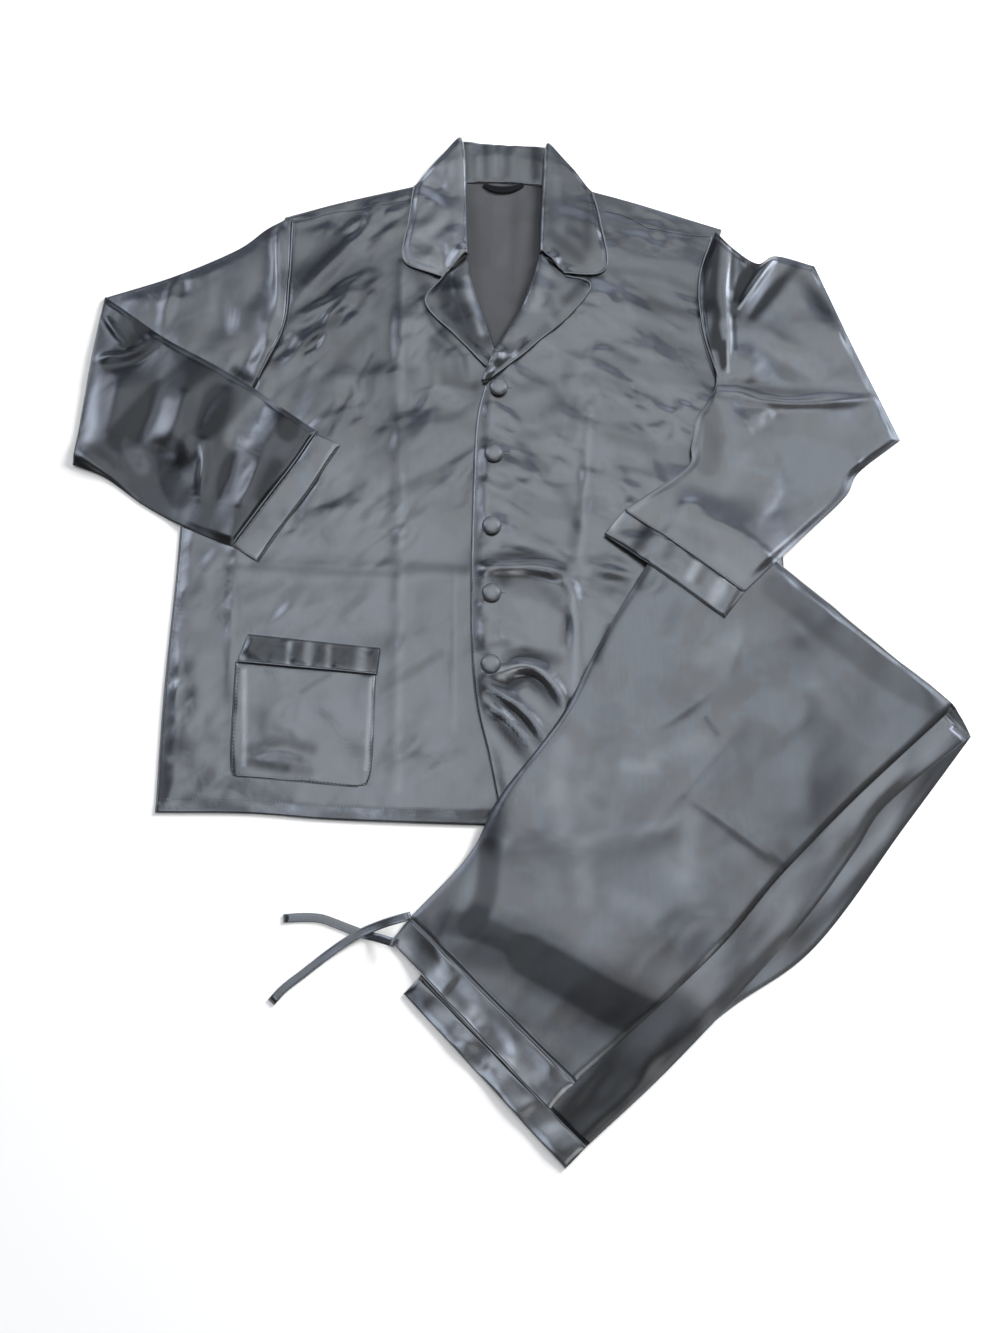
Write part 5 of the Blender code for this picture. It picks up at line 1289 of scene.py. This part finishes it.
# ==== Operators
class PYJAMA_OT_stage(bpy.types.Operator):
    """Make the floor, the soft light and the camera"""

    bl_idname = "pyjama.stage"
    bl_label = "Stage"

    def execute(self, context):
        stage = context.scene.pyjama_stage
        self.make_camera(context, stage)
        self.make_floor(context, stage)
        self.make_light(context, stage)
        context.scene.view_settings.view_transform = "Standard"
        return {"FINISHED"}

    def make_camera(self, context, stage):
        data = bpy.data.cameras.new("camera")
        data.lens, data.sensor_width = CAMERA_LENS, CAMERA_SENSOR
        camera = bpy.data.objects.new("camera", data)
        height = stage.camera_height
        aim = np.array((*CAMERA_AIM, 0.0)) + layout_shift()
        camera.location = (aim[0], aim[1] - height * math.tan(CAMERA_TILT), height)
        camera.rotation_euler = (CAMERA_TILT, 0, 0)
        context.scene.collection.objects.link(camera)
        context.scene.camera = camera

    def make_floor(self, context, stage):
        mesh = bpy.data.meshes.new("floor")
        half = FLOOR_HALF_WIDTH
        mesh.from_pydata([(x, y, FLOOR_HEIGHT) for x, y in (
            (-half, -half), (half, -half), (half, half), (-half, half))], [], [(0, 1, 2, 3)])
        material = bpy.data.materials.new("floor")
        shader = Shader(material)
        surface = shader.node("ShaderNodeBsdfPrincipled", {}, {
            "Base Color": tuple(stage.floor_colour) + (1.0,), "Roughness": 0.9,
            "Specular IOR Level": 0.0})
        shader.node("ShaderNodeOutputMaterial", {}, {"Surface": surface.outputs[0]})
        mesh.materials.append(material)
        floor = bpy.data.objects.new("floor", mesh)
        context.scene.collection.objects.link(floor)

    def make_light(self, context, stage):
        """A dim dome with soft lamps and a bright edge, which the satin mirrors, and two lights."""
        world = bpy.data.worlds.new("dome")
        context.scene.world = world
        shader = Shader(world)
        way = shader.node("ShaderNodeTexCoord", {}, {}).outputs["Generated"]
        north, up = shader.along(way, (0, 1, 0)), shader.along(way, UP)
        colour = shader.mixed(north.between(-0.1, 0.6), (0.060, 0.054, 0.050, 1),
                              (0.045, 0.065, 0.12, 1))
        patches = shader.number("ShaderNodeTexNoise", {}, {
            "Vector": way, "Scale": 7.5, "Detail": 1.0, "Roughness": 0.4})
        uneven = shader.mixed(patches.between(0.42, 0.58), (0.57, 0.58, 0.575, 1),
                              (1.32, 1.365, 1.40, 1))
        uneven = shader.mixed(north.between(0.16, 0.42), (1.12, 1.145, 1.20, 1), uneven)
        for lamp in SOFT_LAMPS:
            near = shader.along(way, Vector((lamp.east, lamp.north, lamp.up)).normalized())
            share = near.between(math.cos(math.radians(lamp.outer)),
                                 math.cos(math.radians(lamp.inner)))
            light = uneven if lamp.outer > WIDE_LAMP else lamp.colour + (1.0,)
            colour = shader.mixed(share, colour, light)
        colour = shader.mixed(1 - up.between(0.08, 0.34), colour, (0.80, 0.82, 0.86, 1))
        ground = shader.node("ShaderNodeBackground", {},
                             {"Color": colour, "Strength": stage.dome_strength})
        shader.node("ShaderNodeOutputWorld", {}, {"Surface": ground.outputs[0]})
        for light in (AreaLight("fill", stage.fill_power, 3.0, (0.2, -0.25, 2.6), False),
                      AreaLight("key", stage.key_power, 0.8, (1.6, 1.3, 1.0), True)):
            data = bpy.data.lights.new(light.name, "AREA")
            data.energy, data.size = light.power, light.size
            lamp = bpy.data.objects.new(light.name, data)
            lamp.location = light.place
            if light.aimed:
                lamp.rotation_euler = Vector(light.place).to_track_quat("Z", "Y").to_euler()
            lamp.visible_glossy = False
            context.scene.collection.objects.link(lamp)


class PYJAMA_OT_drawstring(bpy.types.Operator):
    """Make the drawstring's two free ends"""

    bl_idname = "pyjama.drawstring"
    bl_label = "Drawstring"

    def execute(self, context):
        trim = context.scene.pyjama_trim
        for name, stops in (("drawstring_upper", TAPE_UPPER), ("drawstring_lower", TAPE_LOWER)):
            self.make_tape(name, stops, trim)
        return {"FINISHED"}

    def make_tape(self, name, stops, trim):
        """A flat tape whose two edges are a little thinner than its middle."""
        route = spaced(stops, TAPE_STEP)
        run = unit(np.gradient(route, axis=0))
        side = unit(np.cross(run, UP))
        rise = np.cross(side, run)
        half, thick = trim.tape_width / 2, trim.tape_thickness / 2
        section = [(u, v) for u, v in TAPE_SECTION] + [(-u, -v) for u, v in TAPE_SECTION]
        rings = np.stack([route + half * u * side + thick * v * rise for u, v in section], 1)
        rows, columns = rings.shape[:2]
        quads = np.concatenate([grid_quads(rows, columns, closed=True), end_caps(rows, columns)])
        tape = new_piece(name + "_tape", rings, quads, finish("satin_band"))
        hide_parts(name)
        path = route + layout_shift()


def side_line(side, hem_point, rows_low, rows_high):
    """A side seam and armhole, from the hem's corner up to the shoulder."""
    seam = [hem_point] + [(getattr(level, side), level.y) for level in SIDE_SEAMS]
    hole = [(getattr(level, side), level.y) for level in ARMHOLES]
    tip = SHOULDER_RIGHT[0] if side == "right" else SHOULDER_LEFT[-1]
    return joined_line((seam, rows_low), (hole + [tip], rows_high))


def part_of_hem(start, end, count):
    """The hem between two x, as evenly spaced points."""
    line = smooth_line(HEM, 200)
    x = np.linspace(start, end, count)
    return np.stack([x, np.interp(x, line[:, 0], line[:, 1])], 1)


def side_rows(spacing):
    """Rows of points beside a side seam and beside an armhole."""
    return round(0.40 / spacing), round(0.31 / spacing)


def back_grid(spacing):
    left = side_line("right", HEM[0], *side_rows(spacing))
    right = side_line("left", HEM[-1], *side_rows(spacing))
    third = round(0.2 / spacing)
    top = joined_line((SHOULDER_RIGHT, third), (NECK, third), (SHOULDER_LEFT, third))
    return between_edges(smooth_line(HEM, len(top)), top, left, right)


class PYJAMA_OT_back(bpy.types.Operator):
    """Make the jacket's back"""

    bl_idname = "pyjama.back"
    bl_label = "Back"

    def execute(self, context):
        cloth = context.scene.pyjama_cloth
        grid = facing_up(back_grid(BACK_SPACING))
        inner = smooth_step(np.minimum.reduce(edge_distances(grid)) / 0.02)
        height = np.maximum(creases_of("back", grid) * inner, 0)
        lay_sheet("back", raised(grid, height), cloth.wall, "satin_inside")
        return {"FINISHED"}


def draped(name, grid, swell, lift, reach):
    """The grid laid over the pile with its air, swells and folds, less near its edges."""
    grid = facing_up(grid)
    inner = smooth_step(np.minimum.reduce(edge_distances(grid)) / reach)
    free = lift * inner + (swells_of(grid, swell) + creases_of(name, grid)) * inner
    return raised(grid, PILE.drop(grid) + lifted(free))


class PYJAMA_OT_fronts(bpy.types.Operator):
    """Make the right front, and the left front that laps over it"""

    bl_idname = "pyjama.fronts"
    bl_label = "Fronts"

    def execute(self, context):
        cloth = context.scene.pyjama_cloth
        rows = side_rows(cloth.spacing)
        edge_rows = round(0.46 / cloth.spacing)
        neck_rows = sum(rows) - edge_rows
        top_columns = round(0.27 / cloth.spacing)

        side = side_line("right", HEM[0], *rows)
        edge = [(point.x + LAP, point.y) for point in FRONT_EDGE[:-1]]
        inner = joined_line((edge + [(0.022, 0.480)], edge_rows), (NECKLINE_RIGHT, neck_rows))
        low = part_of_hem(side[0, 0], inner[0, 0], top_columns)
        inner[0] = low[-1]
        top = smooth_line(SHOULDER_RIGHT, top_columns)
        self.lay_front("front_right", between_edges(low, top, side, inner), cloth)
        make_turned(LAPEL_RIGHT, cloth)

        side = side_line("left", HEM[-1], *rows)
        inner = joined_line((FRONT_EDGE, edge_rows), (NECKLINE_LEFT, neck_rows))
        low = part_of_hem(inner[0, 0], side[0, 0], top_columns)
        inner[0] = low[0]
        top = smooth_line(SHOULDER_LEFT, top_columns)
        self.lay_front("front_left", between_edges(low, top, inner, side), cloth)
        make_turned(LAPEL_LEFT, cloth)
        return {"FINISHED"}

    def lay_front(self, name, grid, cloth):
        """A front with its hem, which is thicker than the rest."""
        swell = SWELLS[name]._replace(height=SWELLS[name].height * cloth.swell)
        under = draped(name, grid, swell, cloth.lift, 0.016)
        from_hem = edge_distances(under)[0]
        wall = cloth.wall + HEM_EXTRA * smooth_step((HEM_WIDTH - from_hem) / 0.003 + 0.5)
        lay_sheet(name, under, wall, "satin")


def make_turned(part, cloth):
    """A collar wing or lapel: cloth folded at its roll line, the free part on top."""
    rows = round(length_of(part.roll) / 0.0022)
    roll, free = smooth_line(part.roll, rows), smooth_line(part.free, rows)
    width = np.linalg.norm(free - roll, axis=1)[:, None]
    reach = np.minimum(part.turn / width, TURN_SHARE)
    turned = roll + reach * (free - roll)
    under = np.stack([turned + k * (roll - turned) for k in np.linspace(0, 1, 8)])
    share = np.linspace(0, 1, 30)
    over = np.stack([free + k * (roll - free) for k in share])
    under_level = PILE.drop(under, 0.002, 0.004)
    PILE.cover(raised(under, under_level + cloth.wall))
    over_level = PILE.drop(over, 0.002, 0.004)
    edges = edge_distances(over)
    inner = smooth_step(np.minimum.reduce(edges[:1] + edges[2:]) / 0.010)
    rise = smooth_step((share - 0.25) / 0.75)[:, None]
    bump = (part.dome * smooth_step(edges[0] / 0.012) + swells_of(over, SWELLS["turned"])
            + creases_of(part.name, over))
    over_level = over_level + lifted(bump * inner) + part.rise * rise
    over, under = raised(over, over_level), raised(under, under_level)
    fold = round_fold(over[-1], under[-1], outward_of(over[-1], over[-2]))
    grid = np.concatenate([over, fold, under[::-1]])
    if facing_up(grid) is not grid:
        grid = grid[:, ::-1]
    piece, top = shell(part.name + "_cloth", grid, TURNED_WALL, finish("satin"),
                       shade_of(part.name, grid))
    PILE.cover(top[:len(share)])
    wide, long = float(length_of(part.free)) + 0.01, float(width.max()) + 0.03
    area = float(np.linalg.norm(np.diff(grid, axis=0), axis=-1).sum(0).mean()
                 * length_of(part.roll))
    cut(part.name, Cut(wide, long, min(1.0, max(0.31, area / wide / long)), "folded",
                              [part.rests_on]))


class PYJAMA_OT_collar(bpy.types.Operator):
    """Make the collar behind the neck, its hanging loop and its two wings"""

    bl_idname = "pyjama.collar"
    bl_label = "Collar"

    def execute(self, context):
        self.make_stand()
        self.make_loop()
        for part in (WING_RIGHT, WING_LEFT):
            make_turned(part, context.scene.pyjama_cloth)
        return {"FINISHED"}

    def make_stand(self):
        columns = 80
        seam = smooth_line(NECK, columns)
        left = smooth_line([seam[0], STAND_TOP[0]], 28)
        right = smooth_line([seam[-1], STAND_TOP[-1]], 28)
        grid = facing_up(between_edges(seam, smooth_line(STAND_TOP, columns), left, right))
        low, high = edge_distances(grid)[:2]
        height = smooth_step(low / 0.035) * smooth_step(high / 0.006 + 0.35)
        height = STAND_FOOT + STAND_RISE * height
        height += creases_of("collar_stand", grid) * smooth_step(low / 0.01)
        height += swells_of(grid, SWELLS["collar_stand"])
        height = np.maximum(height, 0.0006)
        lay_sheet("collar_stand", raised(grid, height), TURNED_WALL, "satin")

    def make_loop(self):
        line = smooth_line(LOOP, 40)
        side = outward_of(line, line + (0, -0.01))[:, :2]
        arch = np.sin(np.linspace(0, math.pi, 40))
        width = 0.0046 * (0.45 + 0.55 * arch ** 0.5)[:, None]
        grid = facing_up(np.stack([line + side * width * k for k in (-1, -0.5, 0, 0.5, 1)]))
        height = PILE.drop(grid, 0.002, 0.003) + 0.0012 * arch
        lay_sheet("neck_loop", raised(grid, height), 0.0007, "ribbon", "_ribbon")


class PYJAMA_OT_pocket(bpy.types.Operator):
    """Make the patch pocket and its band"""

    bl_idname = "pyjama.pocket"
    bl_label = "Pocket"

    def execute(self, context):
        cloth = context.scene.pyjama_cloth
        grid = panel(smooth_line(POCKET_LEFT, 60), smooth_line(POCKET_RIGHT, 60))
        under = draped("pocket", grid, SWELLS["pocket"], POCKET_LIFT, 0.004)
        inner = smooth_step(np.minimum.reduce(edge_distances(under)) / 0.004)
        lay_sheet("pocket", under, cloth.wall * (0.3 + 0.7 * inner), "satin")

        low_left, low_right, high_right, high_left = POCKET_BAND
        band = panel(smooth_line([low_left, high_left], BAND_ROWS),
                     smooth_line([low_right, high_right], BAND_ROWS))
        under = draped("pocket_band", band, SWELLS["pocket_band"], POCKET_BAND_LIFT, 0.006)
        lay_sheet("pocket_band", under + 0.0002 * UP, 0.0010, "satin_band")
        return {"FINISHED"}


class PYJAMA_OT_buttons(bpy.types.Operator):
    """Make the five cloth-covered buttons and what shows of their buttonholes"""

    bl_idname = "pyjama.buttons"
    bl_label = "Buttons"

    def execute(self, context):
        trim = context.scene.pyjama_trim
        for number, place in enumerate(BUTTONS, 1):
            self.make_button(number, place, trim)
        holes = [on_the_pile(BUTTONHOLE + np.array(place), 0.0002) for place in BUTTONS]
        piece = joined_cords("buttonholes", holes, HOLE_THREAD, finish("thread"), 4)
        return {"FINISHED"}

    def make_button(self, number, place, trim):
        """A low dome, covered with the cloth."""
        angle = np.linspace(0, 2 * math.pi, BUTTON_STEPS, endpoint=False)
        foot = trim.button_radius * BUTTON_FOOT * np.stack([np.cos(angle), np.sin(angle)], 1)
        level = PILE.at(np.array(place) + foot).max() + 0.0002
        rings = []
        for ring in BUTTON_PROFILE[1:-1]:
            reach = ring.radius * trim.button_radius
            height = np.full(BUTTON_STEPS, level + ring.height * trim.button_height)
            rings.append(np.stack([place.x + reach * np.cos(angle),
                                   place.y + reach * np.sin(angle), height], 1))
        for end, ring in ((0, BUTTON_PROFILE[0]), (len(rings) + 1, BUTTON_PROFILE[-1])):
            tip = np.tile((place.x, place.y, level + ring.height * trim.button_height),
                          (BUTTON_STEPS, 1))
            near = rings[0] if end == 0 else rings[-1]
            rings.insert(end, tip + (near - tip) * 0.02)
        grid = np.stack(rings)
        quads = np.concatenate([grid_quads(len(grid), BUTTON_STEPS, closed=True),
                                end_caps(len(grid), BUTTON_STEPS)])[:, ::-1]
        button = new_piece(f"button_{number}_covered", grid, quads, finish("covered_button"))
        # Painted shade on the button's rim, darkest towards the lower left, and a painted highlight on
        # its middle.
        rim = np.array([0.0] + [ring.radius for ring in BUTTON_PROFILE[1:-1]] + [1.0])
        rim[5:] = 1.0
        side = 0.75 + 0.25 * np.cos(angle - math.radians(215))
        paint_shade(button, 0.85 * smooth_step((rim[:, None] - 0.66) / 0.30) * side - 0.34)
        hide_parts(f"button_{number}")


def tube_over(piece, grid):
    """Half heights of a flattened tube: pinched at its edges and its sewn ends."""
    air = AIR_IN[piece]
    first, last, left, right = edge_distances(grid)
    edge = np.minimum(left, right)
    free = (air.height + swells_of(grid, SWELLS[piece])) * smooth_step(edge / air.side)
    for distance, reach in ((first, air.first), (last, air.last)):
        if reach:
            free = free * smooth_step(distance / reach)
    return EDGE + lifted(free + creases_of(piece, grid) * smooth_step(edge / 0.004))


class PYJAMA_OT_sleeve_right(bpy.types.Operator):
    """Make the right sleeve, turned back at the elbow, and its cuff"""

    bl_idname = "pyjama.sleeve_right"
    bl_label = "Right sleeve"

    def execute(self, context):
        cloth = context.scene.pyjama_cloth
        hole = smooth_line([(level.right + SLEEVE_LAP, level.y) for level in ARMHOLES]
                           + [RIGHT_UPPER_ARM[0].upper], SLEEVE_COLUMNS)
        upper_arm = starting_at(between_sections(RIGHT_UPPER_ARM, 66), hole)
        arm_over = tube_over("upper_arm", upper_arm)
        lower = raised(upper_arm, PILE.drop(upper_arm) + EDGE)
        PILE.cover_tube(lower, arm_over)
        forearm = between_sections(RIGHT_FOREARM, 104)
        cuff = between_sections(RIGHT_CUFF, BAND_ROWS)
        both = np.concatenate([forearm, cuff])
        over = tube_over("sleeve_right", forearm)
        upper = raised(both, PILE.drop(both) + EDGE)
        outward = outward_of(upper[0], upper[1])
        upper[0, :, 2] = np.maximum(upper[0, :, 2], lower[-1, :, 2] + EDGE * 2)
        fold = round_fold(upper[0], lower[-1], outward)[::-1]
        middle = np.concatenate([lower, fold, upper[:len(forearm)]])
        thin = np.full(fold.shape[:2], EDGE)
        halves_up = np.concatenate([arm_over, thin, np.full(over.shape, EDGE)])
        halves_down = np.concatenate([np.full(arm_over.shape, EDGE), thin, over])
        # Painted shade: a little on the elbow fold, and more on the whole forearm and in its folds.
        shade = np.concatenate([shade_of("upper_arm", upper_arm), np.full(thin.shape, 0.15),
                                FOREARM_SHADE + shade_of("sleeve_right", forearm)])
        sleeve = flat_tube("sleeve_right_cloth", middle,
                           turning_over(len(lower), -outward, len(forearm)), halves_up,
                           halves_down, cloth.wall * TUBE_WALL, finish("satin"), shade)
        PILE.cover_tube(upper[:len(forearm)], over)
        cut("sleeve_right")
        make_band("cuff_right", upper[len(forearm):])
        return {"FINISHED"}


def make_band(name, middle):
    """A doubled cuff, waistband or hem: a short flattened tube, flatter than the rest."""
    lay_tube(name, middle, tube_over(name, middle), BAND_WALL, "satin_band")


class PYJAMA_OT_sleeve_left(bpy.types.Operator):
    """Make the left sleeve, bent at the elbow, and its cuff"""

    bl_idname = "pyjama.sleeve_left"
    bl_label = "Left sleeve"

    def execute(self, context):
        cloth = context.scene.pyjama_cloth
        first = LEFT_SHOULDER_CAP[0]
        hole = smooth_line([first.lower]
                           + [(level.left - SLEEVE_LAP, level.y) for level in ARMHOLES
                              if level.y > first.lower.y]
                           + [first.upper], SLEEVE_COLUMNS)
        grid = np.concatenate([
            starting_at(between_sections(LEFT_SHOULDER_CAP, 52), hole),
            between_sections(LEFT_UPPER_ARM, 74)[1:],
            between_sections(LEFT_FOREARM, 90)[1:]])
        cuff = between_sections(LEFT_CUFF, BAND_ROWS)
        both = np.concatenate([grid, cuff])
        middle = raised(both, PILE.drop(both, 0.004, 0.042, True) + EDGE)
        over = tube_over("sleeve_left", grid)
        lay_tube("sleeve_left", middle[:len(grid)], over, cloth.wall * TUBE_WALL, "satin_pressed")
        make_band("cuff_left", middle[len(grid):])
        return {"FINISHED"}


def run_grid(run, rows):
    """A trouser run between its edges, from its waist or hem end to the knee fold."""
    return between_edges(smooth_line(run.end, LEG_COLUMNS), smooth_line(run.knee, LEG_COLUMNS),
                         smooth_line(run.inner, rows), smooth_line(run.outer, rows))


class PYJAMA_OT_trousers(bpy.types.Operator):
    """Make the folded trousers: both legs, the waistband and the hem"""

    bl_idname = "pyjama.trousers"
    bl_label = "Trousers"

    def execute(self, context):
        cloth = context.scene.pyjama_cloth
        bottom = run_grid(BOTTOM_RUN, LOW_RUN_ROWS)
        bottom = raised(bottom, PILE.drop(bottom) + EDGE)
        bottom_over = tube_over("leg_left_below", bottom)
        PILE.cover_tube(bottom, bottom_over)

        hem, lower = self.with_band(HEM_BAND, run_grid(LOWER_RUN, LOW_RUN_ROWS))
        make_band("hem_band", hem)
        lower_over = tube_over("leg_right_below", lower)
        PILE.cover_tube(lower, lower_over)

        hidden = run_grid(HIDDEN_RUN, 50)
        across = hidden[:, -1:] - hidden[:, :1]
        inset = INNER_RUN_INSET / np.linalg.norm(across, axis=-1, keepdims=True)
        hidden[1:-1] -= (np.linspace(-1, 1, LEG_COLUMNS)[None, :, None] * inset * across)[1:-1]
        hidden = raised(hidden, PILE.drop(hidden) + EDGE)
        thin = np.full(hidden.shape[:2], EDGE)
        self.make_leg("leg_right", hidden, lower, thin, lower_over, cloth)
        PILE.cover_tube(hidden, thin)

        waist, top = self.with_band(WAISTBAND, run_grid(TOP_RUN, 186), 0.014)
        make_band("waistband", waist)
        over = tube_over("leg_left", top)
        self.make_leg("leg_left", top, bottom, over, bottom_over, cloth)
        PILE.cover_tube(top, over)
        return {"FINISHED"}

    def with_band(self, sections, run, bridge=0.008):
        """A run and the band at its end, draped together over the pile."""
        band = between_sections(sections, BAND_ROWS, LEG_COLUMNS)[:, ::-1]
        both = np.concatenate([band, run])
        both = raised(both, PILE.drop(both, 0.004, bridge) + EDGE)
        return both[:BAND_ROWS], both[BAND_ROWS:]

    def make_leg(self, name, top, bottom, over, under_out, cloth):
        """A leg's flattened tube: its upper run, the knee fold, and its lower run."""
        outward = outward_of(top[-1], top[-2])
        fold = round_fold(top[-1], bottom[-1], outward)
        middle = np.concatenate([top, fold, bottom[::-1]])
        thin = np.full(LEG_COLUMNS, EDGE)
        halves_up = np.concatenate([over, np.linspace(over[-1], thin, len(fold)),
                                    np.full(under_out.shape, EDGE)])
        halves_down = np.concatenate([np.full(over.shape, EDGE),
                                      np.linspace(thin, under_out[-1], len(fold)),
                                      under_out[::-1]])
        # Painted shade: on the knee fold, on the lower run and more towards its end, and along the top
        # run's side edges.
        lower = np.linspace(-0.05, 0.10, len(fold) + len(bottom))[:, None]
        lower = lower + np.concatenate([np.full(fold.shape[:2], 0.45),
                                        shade_of(name + "_below", bottom)[::-1]])
        rim = np.minimum(*edge_distances(top)[2:])
        shade = np.concatenate([shade_of(name, top) + 0.5 * (1 - smooth_step(rim / 0.004)), lower])
        leg = flat_tube(name + "_cloth", middle, turning_over(len(top), outward, len(bottom)),
                        halves_up, halves_down, cloth.wall * TUBE_WALL, finish("satin_pressed"),
                        shade)
        cut(name)


class PYJAMA_OT_trims(bpy.types.Operator):
    """Make the piped edges and the rows of stitches"""

    bl_idname = "pyjama.trims"
    bl_label = "Piping and stitches"

    def execute(self, context):
        radius = context.scene.pyjama_trim.piping
        top = widest(PILE.height, 1)
        for row in PIPINGS:
            line = spaced(row.points, PIPING_STEP)
            height = PILE.at(line, top)
            height = np.convolve(np.pad(height, 2, mode="edge"), np.full(5, 0.2), "valid")
            path = np.column_stack([line, height + radius * row.raise_by])
            piece = joined_cords(row.name, [path], radius * row.size, finish("piping"))
        for name, line in STITCHES.items():
            piece = joined_cords(name, stitch_lines(line), THREAD, finish("thread"), 4)
        return {"FINISHED"}


class PYJAMA_PT_panel(bpy.types.Panel):
    """Lists the pieces, in the order in which they are laid"""

    bl_idname = "PYJAMA_PT_panel"
    bl_label = "Satin pyjama set"
    bl_space_type = "VIEW_3D"
    bl_region_type = "UI"
    bl_category = "Pyjamas"

    def draw(self, context):
        for operator in OPERATORS:
            self.layout.operator(operator.bl_idname)
        for group in (context.scene.pyjama_cloth, context.scene.pyjama_trim,
                      context.scene.pyjama_stage):
            box = self.layout.box()
            for name in group.__annotations__:
                box.prop(group, name)


SETTINGS = {"pyjama_cloth": ClothSettings, "pyjama_trim": TrimSettings,
            "pyjama_stage": StageSettings}
OPERATORS = (PYJAMA_OT_stage, PYJAMA_OT_drawstring, PYJAMA_OT_back, PYJAMA_OT_fronts,
             PYJAMA_OT_collar, PYJAMA_OT_pocket, PYJAMA_OT_buttons, PYJAMA_OT_sleeve_right,
             PYJAMA_OT_trousers, PYJAMA_OT_sleeve_left, PYJAMA_OT_trims)


def register():
    for cls in (*SETTINGS.values(), *OPERATORS, PYJAMA_PT_panel):
        bpy.utils.register_class(cls)
    for name, group in SETTINGS.items():
        setattr(bpy.types.Scene, name, bpy.props.PointerProperty(type=group))


def unregister():
    for name in SETTINGS:
        delattr(bpy.types.Scene, name)
    for cls in reversed((*SETTINGS.values(), *OPERATORS, PYJAMA_PT_panel)):
        bpy.utils.unregister_class(cls)


def main():
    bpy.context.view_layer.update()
    register()
    for operator in OPERATORS:
        category, name = operator.bl_idname.split(".")
        getattr(getattr(bpy.ops, category), name)()


if __name__ == "__main__":
    main()
